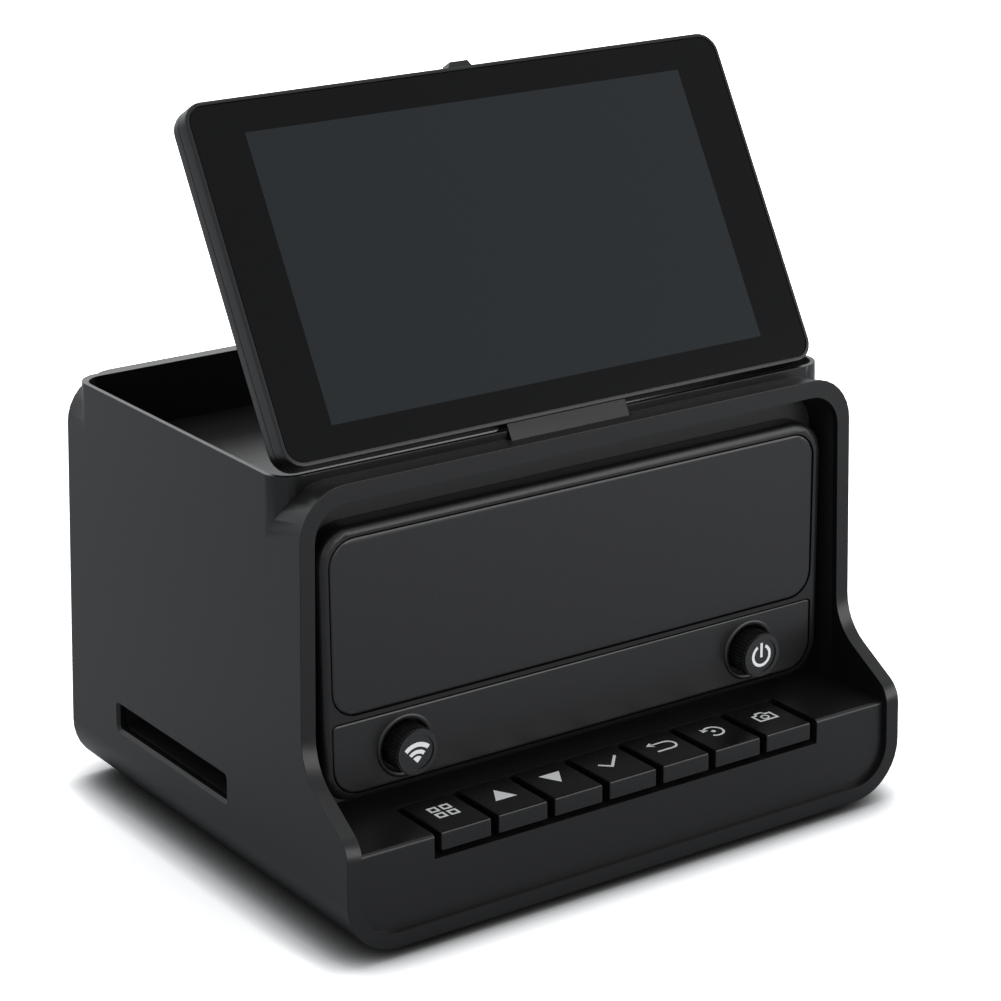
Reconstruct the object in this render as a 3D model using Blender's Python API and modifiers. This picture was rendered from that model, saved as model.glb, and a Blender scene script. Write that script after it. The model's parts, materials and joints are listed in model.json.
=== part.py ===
"""Film and slide scanner with a tilting display, built piece by piece.

Lengths are metres. The scanner stands on z = 0 with its front towards -y. Inside the script the
pieces are placed from the main face plane (y = 0) and the body's underside (z = 0), and one empty
carries them to their place in the world. The display's pieces are drawn lying flat, from the
hinge axis, and a second empty tilts them.
"""
import math

import bmesh
import bpy
from mathutils import Matrix, Vector

# Fits shared by many pieces
FACET_SAG = 0.00007
WELD = 0.000001
FIT = 0.0003
SLIDE_FIT = 0.0004
OVERRUN = 0.02
SEAM = 0.00015
SKIM = 0.00005
FLAT_ANGLE = 0.004

# Display: the glass panel sets the lid's size, and the lid sets the body's
LCD_WIDTH = 0.165
LCD_LENGTH = 0.0998
LCD_THICKNESS = 0.0030
LCD_SIDE_BORDER = 0.01225
LCD_END_BORDER = 0.0039
LID_TILT = 60.46
BARREL = 0.00514
LID_HEEL = 0.00553
LID_WIDTH = LCD_WIDTH + 2 * LCD_SIDE_BORDER
LID_LENGTH = LCD_LENGTH + 2 * LCD_END_BORDER
LID_THICKNESS = 0.010
LID_CORNER = 0.0065
LID_EDGE = 0.0006
LID_BACK_EDGE = 0.0022
LID_SPLIT = 0.0052
LID_SKIN = 0.0016
GLASS_LIP = 0.0012
GLASS_THICKNESS = 0.0011
GLASS_RECESS = 0.00015
PANEL_GLASS_GAP = 0.0003
BULGE_SIDE_MARGIN = 0.0115
BULGE_END_MARGIN = 0.0129
BULGE_WIDTH = LCD_WIDTH - 2 * BULGE_SIDE_MARGIN
BULGE_LENGTH = LCD_LENGTH - 2 * BULGE_END_MARGIN
BULGE_HEIGHT = 0.004
BULGE_CORNER = 0.009
BULGE_EDGE = 0.002
LID_BOARD_SIDE_MARGIN = 0.016
LID_BOARD_END_MARGIN = 0.011
LID_BOARD_WIDTH = BULGE_WIDTH - 2 * LID_BOARD_SIDE_MARGIN
LID_BOARD_LENGTH = BULGE_LENGTH - 2 * LID_BOARD_END_MARGIN
TAB_WIDTH = 0.0083
TAB_HEIGHT = 0.0017
TAB_THICKNESS = 0.0042
TAB_SLOPE = 0.0010

# Front recess
FRAME_SIDE = 0.0048
FRAME_TOP = 0.0055
FRAME_TOP_CORNER = 0.0105
FRAME_BOTTOM_CORNER = 0.012
FRAME_ROUND = 0.0009
RECESS_DEPTH = 0.0105
RECESS_WALL = 0.0025
RECESS_RISE = 0.0008
RECESS_RIM = 0.002
RECESS_TAPER_SHARE = 0.32
APRON_SETBACK = 0.0019
SHELF_HEIGHT = 0.0306
SHELF_BACK = 0.0009
SHELF_EDGE = 0.0012

# Well that the display folds into, and its hinge line
RIM_RISE = 0.0007
WELL_SETBACK = 0.001
HINGE_SETBACK = 0.0025
HINGE_DROP = 0.00535
LID_SIDE_ROOM = 0.00375
LID_END_ROOM = 0.00687
WELL_FRONT = RECESS_DEPTH + WELL_SETBACK
HINGE_Y = WELL_FRONT + HINGE_SETBACK
WELL_REAR = HINGE_Y + LID_HEEL + LID_LENGTH + LID_END_ROOM
WELL_CORNER = 0.008
WELL_SIDE_WALL = 0.0014
WELL_END_WALL = 0.0015
WELL_DEPTH = 0.019
WELL_FLOOR = 0.0025
LEDGE_DROP = 0.0019
RIM_EDGE = 0.0003

# Body
WELL_REAR_MARGIN = 0.004
BODY_WIDTH = LID_WIDTH + 2 * LID_SIDE_ROOM
BODY_HEIGHT = 0.1313
BODY_DEPTH = WELL_REAR + WELL_REAR_MARGIN
SIDE_DRAFT = 0.0035
REAR_DRAFT = 0.0033
TOP_CORNER = 0.015
BOTTOM_CORNER = 0.017
RIM_ROUND = 0.0016
WALL = 0.0026
BACK_ROUND = 0.002
RIM_TOP = BODY_HEIGHT + RIM_RISE
WELL_FLOOR_TOP = RIM_TOP - WELL_DEPTH
CAVITY_TOP = WELL_FLOOR_TOP - WELL_FLOOR
HINGE_Z = RIM_TOP - HINGE_DROP

# Foot that the side walls sweep out to
FOOT_REACH = 0.0244
SWEEP_TOP = 0.0496
SWEEP_FOOT = 0.0343
SWEEP_HOLLOW = 0.017
SWEEP_NOSE = 0.008
APRON_Y = APRON_SETBACK - FOOT_REACH
OVERALL_DEPTH = FOOT_REACH + BODY_DEPTH + REAR_DRAFT

# Film slot and its guides
SLOT_FRONT = 0.0432
SLOT_LENGTH = 0.0669
SLOT_BOTTOM = 0.0245
SLOT_HEIGHT = 0.008
SLOT_CORNER = 0.001
SLOT_LEAD = 0.0011
GUIDE_PLATE = 0.0022
GUIDE_RAIL = 0.0022
GUIDE_INSET = 0.0006
GATE_LENGTH = 0.040
GATE_WIDTH = 0.028
GATE_ROUND = 0.002
SLOT_REAR = SLOT_FRONT + SLOT_LENGTH
SLOT_TOP = SLOT_BOTTOM + SLOT_HEIGHT
GATE_Y = (SLOT_FRONT + SLOT_REAR) / 2

# Fascia with its panel and control strip
POCKET_OFFSET = -0.0007
FASCIA_SIDE_ROOM = 0.0073
FASCIA_TOP_MARGIN = 0.0086
FASCIA_FOOT_MARGIN = 0.0031
FASCIA_WIDTH = BODY_WIDTH - 2 * FASCIA_SIDE_ROOM
FASCIA_BOTTOM = SHELF_HEIGHT + FASCIA_FOOT_MARGIN
FASCIA_TOP = BODY_HEIGHT - FRAME_TOP - FASCIA_TOP_MARGIN
FASCIA_FACE = 0.0036
FASCIA_CORNER = 0.011
FASCIA_ROUND = 0.0023
FASCIA_SKIN = 0.0018
STRIP_INSET = 0.0035
STRIP_WIDTH = FASCIA_WIDTH - 2 * STRIP_INSET
STRIP_MARGIN = 0.0027
STRIP_HEIGHT = 0.022
STRIP_BOTTOM = FASCIA_BOTTOM + STRIP_MARGIN
STRIP_TOP = STRIP_BOTTOM + STRIP_HEIGHT
STRIP_CORNER = 0.0085
STRIP_SQUARE = 0.0012
STRIP_THICKNESS = 0.0034
STRIP_ROUND = 0.0005
PANEL_INSET = 0.0037
PANEL_WIDTH = FASCIA_WIDTH - 2 * PANEL_INSET
PANEL_MARGIN = 0.0036
PANEL_STRIP_GAP = 0.0021
PANEL_BOTTOM = STRIP_TOP + PANEL_STRIP_GAP
PANEL_TOP = FASCIA_TOP - PANEL_MARGIN
PANEL_CORNER = 0.008
PANEL_THICKNESS = 0.003
PANEL_ROUND = 0.0006

# Round push buttons
BUTTON_END_MARGIN = 0.0242
BUTTON_RISE = 0.0106
BUTTON_SPACING = STRIP_WIDTH - 2 * BUTTON_END_MARGIN
BUTTON_HEIGHT = STRIP_BOTTOM + BUTTON_RISE
BUTTON_RADIUS = 0.0072
BUTTON_STANDOFF = 0.0066
BUTTON_RIM = 0.0017
BUTTON_DISC_DEPTH = 0.0004
BUTTON_EDGE = 0.0005
BUTTON_TRAVEL = 0.001
BUTTON_STEM = 0.0025
KNURL_DEPTH = 0.00035
KNURL_COUNT = 40
BUTTON_ROOM = 0.0009
HOLE_LEAD = 0.0008
SWITCH_STEM_GAP = 0.0003

# Keys
KEY_COUNT = 7
POCKET_END_MARGIN = 0.0281
POCKET_WIDTH = BODY_WIDTH - 2 * POCKET_END_MARGIN
POCKET_DROP = 0.0076
POCKET_FLOOR = SHELF_HEIGHT - POCKET_DROP
POCKET_SKIN = 0.002
KEY_GAP = 0.0024
KEY_SINK = 0.0001
KEY_FLOOR_GAP = 0.002
KEY_TOP = SHELF_HEIGHT - KEY_SINK
KEY_BOTTOM = POCKET_FLOOR + KEY_FLOOR_GAP
KEY_BACK_GAP = 0.0006
KEY_EDGE = 0.0007
KEY_TRAVEL = 0.0012
KEY_STEM = 0.005
KEY_STEM_DROP = 0.0075

# Circuit boards and switches
BOARD = 0.0016
SWITCH_SIDE = 0.006
SWITCH_HEIGHT = 0.0035
SWITCH_PLUNGER = 0.0016
SWITCH_PLUNGER_HEIGHT = 0.0008
APRON_BOARD_GAP = 0.0014
KEY_BOARD_WIDTH = POCKET_WIDTH - 2 * KEY_GAP
KEY_BOARD_DEPTH = 0.016
BUTTON_BOARD_MARGIN = 0.0085
BUTTON_BOARD_WIDTH = BUTTON_SPACING + 2 * BUTTON_BOARD_MARGIN
BUTTON_BOARD_HEIGHT = 0.014

# Base plate, feet and screws
BASE_THICKNESS = 0.0025
BASE_SIDE_MARGIN = 0.001
BASE_REAR_MARGIN = 0.0035
BASE_HALF_WIDTH = BODY_WIDTH / 2 + SIDE_DRAFT - BOTTOM_CORNER - BASE_SIDE_MARGIN
BASE_FRONT = FOOT_REACH - APRON_SETBACK - WALL - APRON_BOARD_GAP
BASE_REAR = BODY_DEPTH - BASE_REAR_MARGIN
BASE_CORNER = 0.006
POST_RADIUS = 0.003
FOOT_HEIGHT = 0.003
FOOT_RADIUS = 0.0075
FOOT_POCKET = 0.0008
FOOT_EDGE = 0.0006
FOOT_SIDE_MARGIN = 0.014
FOOT_END_MARGIN = 0.0145
FOOT_X = BASE_HALF_WIDTH - FOOT_SIDE_MARGIN
FOOT_FRONT_Y = FOOT_END_MARGIN - BASE_FRONT
FOOT_REAR_Y = BASE_REAR - FOOT_END_MARGIN
SCREW_SIDE_MARGIN = 0.007
SCREW_FRONT_MARGIN = 0.005
SCREW_REAR_MARGIN = 0.004
SCREW_X = BASE_HALF_WIDTH - SCREW_SIDE_MARGIN
SCREW_FRONT_Y = SCREW_FRONT_MARGIN - BASE_FRONT
SCREW_REAR_Y = BASE_REAR - SCREW_REAR_MARGIN
SCREW_SHANK = 0.0014
SCREW_HEAD_OVERHANG = 0.0015
SCREW_HEAD = SCREW_SHANK + SCREW_HEAD_OVERHANG
SCREW_HEAD_HEIGHT = 0.0013
SCREW_LENGTH = 0.009
BOSS_WALL = 0.0024
BOSS_RADIUS = SCREW_SHANK + BOSS_WALL
BOSS_HEIGHT = 0.016

# Scanning unit
LIGHT_BOARD_END_MARGIN = 0.008
LIGHT_BOARD_SIDE_MARGIN = 0.007
LIGHT_BOARD_LENGTH = GATE_LENGTH + 2 * LIGHT_BOARD_END_MARGIN
LIGHT_BOARD_WIDTH = GATE_WIDTH + 2 * LIGHT_BOARD_SIDE_MARGIN
DIFFUSER_THICKNESS = 0.002
DIFFUSER_MARGIN = 0.003
LIGHT_POST_X = LIGHT_BOARD_LENGTH / 2 - POST_RADIUS
LIGHT_POST_Y = LIGHT_BOARD_WIDTH / 2 - POST_RADIUS
CAMERA_SIDE_MARGIN = 0.012
CAMERA_END_MARGIN = 0.003
CAMERA_WIDTH = GATE_LENGTH + 2 * CAMERA_SIDE_MARGIN
CAMERA_DEPTH = GATE_WIDTH + 2 * CAMERA_END_MARGIN
CAMERA_WALL = 0.0025
CAMERA_HEADROOM = 0.0238
CAMERA_WINDOW = 0.022
BARREL_RADIUS = 0.009
BARREL_LENGTH = 0.024
BARREL_WALL = 0.0014
BARREL_BORE = BARREL_RADIUS - BARREL_WALL
BARREL_FLANGE_REACH = 0.003
BARREL_FLANGE = BARREL_RADIUS + BARREL_FLANGE_REACH
BARREL_FLANGE_THICKNESS = 0.002
LENS_THICKNESS = 0.0035
LENS_INSET = 0.0015
SENSOR_BOARD_SIDE = 0.032
SENSOR_CHIP_SIDE = 0.008
SENSOR_CHIP_HEIGHT = 0.0014

# Main board and the sockets on the rear
MAIN_BOARD_SIDE_MARGIN = 0.0235
MAIN_BOARD_REAR_MARGIN = 0.0025
MAIN_BOARD_CAMERA_GAP = 0.00185
MAIN_BOARD_RISE = 0.0095
MAIN_BOARD_WIDTH = BODY_WIDTH - 2 * MAIN_BOARD_SIDE_MARGIN
MAIN_BOARD_REAR = BODY_DEPTH - MAIN_BOARD_REAR_MARGIN
MAIN_BOARD_FRONT = GATE_Y + CAMERA_DEPTH / 2 + MAIN_BOARD_CAMERA_GAP
MAIN_BOARD_HEIGHT = SLOT_TOP + MAIN_BOARD_RISE
MAIN_POST_SIDE_MARGIN = 0.011
MAIN_POST_GUIDE_GAP = 0.0089
MAIN_POST_REAR_MARGIN = 0.0055
MAIN_POST_X = MAIN_BOARD_WIDTH / 2 - MAIN_POST_SIDE_MARGIN
MAIN_CHIP_SIDE = 0.014
MAIN_CHIP_HEIGHT = 0.0018
SOCKET_SETBACK = 0.0006
SOCKET_SHELL = 0.0005
SOCKET_TONGUE = 0.0009
POWER_SOCKET_SIZE = (0.0090, 0.0033, 0.0080)
VIDEO_SOCKET_SIZE = (0.0150, 0.0055, 0.0120)
CARD_SOCKET_SIZE = (0.0270, 0.0034, 0.0260)
POWER_SOCKET_X = -0.032
VIDEO_SOCKET_X = -0.004
CARD_SOCKET_X = 0.034

# Hinge
KNUCKLE_HALF = 0.0212
KNUCKLE_FIT = 0.0005
PIN_RADIUS = 0.0012
HINGE_BRACKET_MARGIN = 0.0087
HINGE_BRACKET_HALF = KNUCKLE_HALF - HINGE_BRACKET_MARGIN
HINGE_EYE_WALL = 0.0019
HINGE_BRACKET_EYE = PIN_RADIUS + HINGE_EYE_WALL
HINGE_BRACKET_FOOT = 0.0125
HINGE_BRACKET_PLATE = 0.0018
HINGE_BRACKET_GAP = 0.0004

# How steep an edge must be to count as one, in degrees, and how square its two faces look
CREASE_ANGLE = 35.0
SQUARE_SHARE = 0.95
LEVEL_SHARE = 0.05
ACROSS_SHARE = 0.2
AHEAD_SHARE = 0.25
ROUNDED_SHARE = 0.9

FINISHES = {
    "moulded_black_abs": ("#3C3D3F", 0.55, 0.0),
    "satin_black_abs": ("#37393B", 0.45, 0.0),
    "key_abs": ("#2B2C2E", 0.42, 0.0),
    "knurled_abs": ("#333537", 0.50, 0.0),
    "cover_glass": ("#141516", 0.06, 0.0),
    "display_panel": ("#2C3032", 0.30, 0.0),
    "board_laminate": ("#17452C", 0.45, 0.0),
    "socket_steel": ("#9A9C9E", 0.32, 1.0),
    "pin_steel": ("#A6A8AA", 0.25, 1.0),
    "zinc_steel": ("#8D9093", 0.35, 1.0),
    "rubber": ("#1C1C1D", 0.85, 0.0),
    "opal_acrylic": ("#E9EAE6", 0.35, 0.0),
    "lens_glass": ("#1B2430", 0.03, 0.0),
    "anodised_black": ("#1A1B1C", 0.40, 0.9),
    "internal_abs": ("#232425", 0.60, 0.0),
}

# How the three drawing planes lie in space: (across, up, along) to (x, y, z)
FRONT = Matrix(((1, 0, 0, 0), (0, 0, 1, 0), (0, 1, 0, 0), (0, 0, 0, 1)))
SIDE = Matrix(((0, 0, 1, 0), (1, 0, 0, 0), (0, 1, 0, 0), (0, 0, 0, 1)))
PLAN = Matrix.Identity(4)


def clear_scene():
    for obj in list(bpy.data.objects):
        bpy.data.objects.remove(obj, do_unlink=True)


def half_width(height):
    """Half the body's width at a height, with the side draft."""
    return BODY_WIDTH / 2 + SIDE_DRAFT * (BODY_HEIGHT - height) / BODY_HEIGHT


def rear_face(height):
    """The rear wall's outer face at a height, with its draft."""
    return BODY_DEPTH + REAR_DRAFT * (BODY_HEIGHT - height) / BODY_HEIGHT


def linear(channel):
    return channel / 12.92 if channel <= 0.04045 else ((channel + 0.055) / 1.055) ** 2.4


def material(name):
    found = bpy.data.materials.get(name)
    if found:
        return found
    colour, roughness, metallic = FINISHES[name]
    made = bpy.data.materials.new(name)
    made.use_nodes = True
    shader = made.node_tree.nodes["Principled BSDF"]
    parts = [linear(int(colour[i : i + 2], 16) / 255) for i in (1, 3, 5)]
    shader.inputs["Base Color"].default_value = (*parts, 1.0)
    shader.inputs["Roughness"].default_value = roughness
    shader.inputs["Metallic"].default_value = metallic
    made.diffuse_color = (*parts, 1.0)
    return made


def arc_steps(radius, turn):
    """Facets for an arc, so that no chord strays from it by more than FACET_SAG."""
    reach = max(1 - FACET_SAG / radius, 0.5)
    return max(2, math.ceil(abs(turn) / (2 * math.acos(reach))))


def outline(corners, steps=None):
    """The closed outline through (across, up, radius) corners, each rounded to its radius."""
    points = []
    for i, (across, up, radius) in enumerate(corners):
        here = Vector((across, up))
        if radius <= 0:
            points.append(here)
            continue
        back = (Vector(corners[i - 1][:2]) - here).normalized()
        ahead = (Vector(corners[(i + 1) % len(corners)][:2]) - here).normalized()
        half = math.acos(max(-1.0, min(1.0, back.dot(ahead)))) / 2
        centre = here + (back + ahead).normalized() * (radius / math.sin(half))
        start = here + back * (radius / math.tan(half)) - centre
        turn = math.pi - 2 * half
        side = 1 if back.x * ahead.y - back.y * ahead.x < 0 else -1
        count = steps or arc_steps(radius, turn)
        for k in range(count + 1):
            points.append(centre + Matrix.Rotation(side * turn * k / count, 2) @ start)
    return points


def rectangle(low_u, high_u, low_v, high_v, radius=0):
    return [(low_u, low_v, radius), (high_u, low_v, radius), (high_u, high_v, radius),
            (low_u, high_v, radius)]


def object_from(name, mesh, group):
    obj = bpy.data.objects.new(name, mesh)
    COLLECTIONS[group].objects.link(obj)
    if group == "cutters":
        obj.hide_render = True
        obj.display_type = "WIRE"
    return obj


def finish_mesh(bm, name):
    bmesh.ops.recalc_face_normals(bm, faces=bm.faces)
    mesh = bpy.data.meshes.new(name)
    bm.to_mesh(mesh)
    bm.free()
    return mesh


def extruded(name, corners, low, high, view, group="cutters"):
    """A flat outline in one of the three drawing planes, thickened from low to high."""
    points = outline(corners)
    curve = bpy.data.curves.new(name, "CURVE")
    curve.dimensions = "2D"
    curve.fill_mode = "BOTH"
    curve.extrude = (high - low) / 2
    spline = curve.splines.new("POLY")
    spline.points.add(len(points) - 1)
    for point, place in zip(spline.points, points):
        point.co = (*place, 0, 1)
    spline.use_cyclic_u = True
    drawn = bpy.data.objects.new(name, curve)
    bpy.context.scene.collection.objects.link(drawn)
    graph = bpy.context.evaluated_depsgraph_get()
    solid = bpy.data.meshes.new_from_object(drawn.evaluated_get(graph))
    bpy.data.objects.remove(drawn)
    bpy.data.curves.remove(curve)
    bm = bmesh.new()
    bm.from_mesh(solid)
    bpy.data.meshes.remove(solid)
    bmesh.ops.remove_doubles(bm, verts=bm.verts, dist=WELD)
    bmesh.ops.dissolve_limit(bm, angle_limit=FLAT_ANGLE, verts=bm.verts, edges=bm.edges)
    lift = Matrix.Translation((0, 0, (low + high) / 2))
    bmesh.ops.transform(bm, matrix=view @ lift, verts=bm.verts)
    return object_from(name, finish_mesh(bm, name), group)


def block(name, low, high, group="cutters"):
    """A box between two corners."""
    low, high = Vector(low), Vector(high)
    bm = bmesh.new()
    bmesh.ops.create_cube(bm, size=1)
    bmesh.ops.scale(bm, vec=high - low, verts=bm.verts)
    bmesh.ops.translate(bm, vec=(low + high) / 2, verts=bm.verts)
    return object_from(name, finish_mesh(bm, name), group)


def cylinder(name, start, end, radius, group="cutters", end_radius=None):
    """A round bar, or a cone with end_radius, from one point to another."""
    start, end = Vector(start), Vector(end)
    along = end - start
    turn = along.to_track_quat("Z", "Y").to_matrix().to_4x4()
    place = Matrix.Translation((start + end) / 2) @ turn
    far = radius if end_radius is None else end_radius
    bm = bmesh.new()
    count = 2 * arc_steps(max(radius, far), math.pi)
    bmesh.ops.create_cone(bm, cap_ends=True, segments=count, radius1=radius, radius2=far,
                          depth=along.length, matrix=place)
    return object_from(name, finish_mesh(bm, name), group)


def turned(name, profile, centre, axis, group):
    """A (radius, along) profile, listed down its outer side, turned about an axis through centre."""
    count = len(profile)
    is_ring = profile[0][0] > 0
    mesh = bpy.data.meshes.new(name)
    mesh.from_pydata([(radius, 0, along) for radius, along in profile],
                     [(i, (i + 1) % count) for i in range(count if is_ring else count - 1)], [])
    obj = object_from(name, mesh, group)
    widest = max(radius for radius, along in profile)
    screw = obj.modifiers.new("turn", "SCREW")
    screw.steps = screw.render_steps = 2 * arc_steps(widest, math.pi)
    screw.use_merge_vertices = True
    screw.merge_threshold = WELD
    obj.location = centre
    obj.rotation_mode = "QUATERNION"
    obj.rotation_quaternion = Vector(axis).to_track_quat("Z", "Y")
    return obj


def combine(obj, tool, operation):
    """One Boolean step: DIFFERENCE, UNION or INTERSECT with another object."""
    step = obj.modifiers.new(tool.name, "BOOLEAN")
    step.operation = operation
    step.object = tool
    step.solver = "EXACT"
    return obj


def cut(obj, *tools):
    for tool in tools:
        combine(obj, tool, "DIFFERENCE")
    return obj


def add(obj, *tools):
    for tool in tools:
        combine(obj, tool, "UNION")
    return obj


def settle(obj):
    """Turns an object's modifiers into its own mesh, with flat neighbours merged."""
    graph = bpy.context.evaluated_depsgraph_get()
    solid = bpy.data.meshes.new_from_object(obj.evaluated_get(graph))
    obj.modifiers.clear()
    bm = bmesh.new()
    bm.from_mesh(solid)
    bmesh.ops.remove_doubles(bm, verts=bm.verts, dist=WELD)
    bmesh.ops.dissolve_degenerate(bm, dist=WELD, edges=bm.edges)
    bm.to_mesh(solid)
    bm.free()
    obj.data = solid
    return obj


def round_edges(obj, radius, chosen, segments=2):
    """Rounds the edges that chosen(first face, second face, edge) picks on a settled mesh."""
    bm = bmesh.new()
    bm.from_mesh(obj.data)
    bm.normal_update()
    edges = [edge for edge in bm.edges if len(edge.link_faces) == 2 and chosen(*edge.link_faces, edge)]
    bmesh.ops.bevel(bm, geom=edges, offset=radius, segments=segments, profile=0.5, affect="EDGES",
                    clamp_overlap=True)
    bmesh.ops.remove_doubles(bm, verts=bm.verts, dist=WELD)
    bm.to_mesh(obj.data)
    bm.free()
    return obj


def steep(first, second):
    return first.normal.angle(second.normal, 0) > math.radians(CREASE_ANGLE)


def between(direction):
    """Picks sharp edges between a face that looks along direction and one that looks across it."""
    direction = Vector(direction)

    def chosen(first, second, edge):
        looks = sorted((first.normal.dot(direction), second.normal.dot(direction)))
        return looks[1] > ROUNDED_SHARE and abs(looks[0]) < AHEAD_SHARE and steep(first, second)

    return chosen


def front_rim(first, second, edge):
    """The rim where the front and its sweep meet the walls that run back from them."""
    looks = sorted((first.normal, second.normal), key=lambda normal: normal.y)
    ahead, across = looks
    is_front = ahead.y < -AHEAD_SHARE and abs(ahead.x) < LEVEL_SHARE
    return is_front and abs(across.y) < ACROSS_SHARE and steep(first, second)


def smooth(obj):
    obj.data.shade_smooth()
    obj.data.set_sharp_from_angle(angle=math.radians(CREASE_ANGLE))
    return obj


def piece(obj, finish):
    """Gives an object its finish and its place in the model's own collection."""
    obj.data.materials.clear()
    obj.data.materials.append(material(finish))
    for group in list(obj.users_collection):
        group.objects.unlink(obj)
    COLLECTIONS["scanner"].objects.link(obj)
    obj.hide_render = False
    obj.display_type = "TEXTURED"
    return smooth(obj)


def origin_at(obj, place):
    """Moves an object's origin to a place on its joint's axis and leaves its shape where it is."""
    obj.data.transform(Matrix.Translation(-Vector(place)))
    obj.location = place
    return obj


def carried_by(empty, objects):
    for obj in objects:
        if obj.parent is None and obj.type == "MESH":
            obj.parent = empty


def front_profile(inset_side, bottom, top, bottom_radius, top_radius):
    """The body's front outline, drawn in by inset_side, between two heights."""
    low, high = half_width(bottom) - inset_side, half_width(top) - inset_side
    return [(-low, bottom, bottom_radius), (low, bottom, bottom_radius), (high, top, top_radius),
            (-high, top, top_radius)]


def corner_relief(name, near, far, tilt):
    """What rounds the body's top corners in front of the well or behind it."""
    low = BODY_HEIGHT - 2 * TOP_CORNER
    outside = half_width(0) + OVERRUN
    shoulder, crown = half_width(low) + SKIM, half_width(BODY_HEIGHT) + SKIM
    corners = [(-outside, low, 0), (-shoulder, low, 0), (-crown, BODY_HEIGHT, TOP_CORNER),
               (crown, BODY_HEIGHT, TOP_CORNER), (shoulder, low, 0), (outside, low, 0),
               (outside, RIM_TOP + OVERRUN, 0), (-outside, RIM_TOP + OVERRUN, 0)]
    relief = extruded(name, corners, near, far, FRONT)
    turn = (Matrix.Translation((0, 0, BODY_HEIGHT)) @ Matrix.Rotation(-tilt, 4, "X")
            @ Matrix.Translation((0, 0, -BODY_HEIGHT)))
    relief.data.transform(turn)
    return relief


def housing():
    """The moulded outer shell: front frame, swept foot, shelf, well and film slot in one piece."""
    profile = front_profile(0, 0, RIM_TOP, BOTTOM_CORNER, 0)
    body = extruded("housing", profile, -FOOT_REACH - OVERRUN, rear_face(0) + OVERRUN, FRONT)
    side = [(-FOOT_REACH, -OVERRUN, 0), (rear_face(-OVERRUN), -OVERRUN, 0),
            (rear_face(RIM_TOP + OVERRUN), RIM_TOP + OVERRUN, 0), (0, RIM_TOP + OVERRUN, 0),
            (0, SWEEP_TOP, SWEEP_HOLLOW), (-FOOT_REACH, SWEEP_FOOT, SWEEP_NOSE)]
    reach = half_width(0) + OVERRUN
    combine(body, extruded("side_sweep", side, -reach, reach, SIDE), "INTERSECT")
    outside = half_width(RIM_TOP) + SKIM
    plan = rectangle(-outside, outside, WELL_FRONT, WELL_REAR, WELL_CORNER)
    well_box = extruded("well_box", plan, 0, RIM_TOP + 2 * OVERRUN, PLAN)
    for corner in well_box.data.vertices:
        corner.co.x *= half_width(corner.co.z) / half_width(RIM_TOP)
    slope = math.atan(LEDGE_DROP / WELL_FRONT)
    front_relief = corner_relief("front_relief", -FOOT_REACH - OVERRUN, WELL_FRONT + 2 * WELL_CORNER, slope)
    rear_relief = corner_relief("rear_relief", WELL_REAR - 2 * WELL_CORNER, rear_face(0) + 2 * OVERRUN, 0)
    for relief in (front_relief, rear_relief):
        cut(relief, well_box)
        cut(body, relief)
    settle(body)
    round_edges(body, RIM_ROUND, front_rim, 3)
    round_edges(body, BACK_ROUND, between((0, 1, 0)), 2)

    cut(body, front_recess())
    settle(body)
    round_edges(body, FRAME_ROUND, front_rim, 2)
    cut(body, well_hollow(), cavity(), base_opening(), film_slot(), key_pocket())
    cut(body, *key_stem_holes(), *switch_holes(), *socket_holes(), *boss_holes(), *knuckle_clearance())
    settle(body)
    round_edges(body, RIM_EDGE, well_rim, 1)
    round_edges(body, SLOT_LEAD, slot_mouth, 1)
    return piece(body, "moulded_black_abs")


def well_rim(first, second, edge):
    """The well's thin top rim, outside and inside."""
    top = max(first.normal.z, second.normal.z) > 0.99 and steep(first, second)
    inside = all(corner.co.y > WELL_FRONT - SEAM and corner.co.y < WELL_REAR + SEAM for corner in edge.verts)
    return top and inside and all(corner.co.z > RIM_TOP - SEAM for corner in edge.verts)


def slot_mouth(first, second, edge):
    """The film slot's edge on the two outer side walls."""
    outer = max(abs(first.normal.x), abs(second.normal.x)) > SQUARE_SHARE and steep(first, second)
    places = [corner.co for corner in edge.verts]
    along = all(SLOT_FRONT - SEAM < co.y < SLOT_REAR + SEAM for co in places)
    level = all(SLOT_BOTTOM - SEAM < co.z < SLOT_TOP + SEAM for co in places)
    return outer and along and level and all(abs(co.x) > half_width(co.z) - WALL / 2 for co in places)


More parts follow.
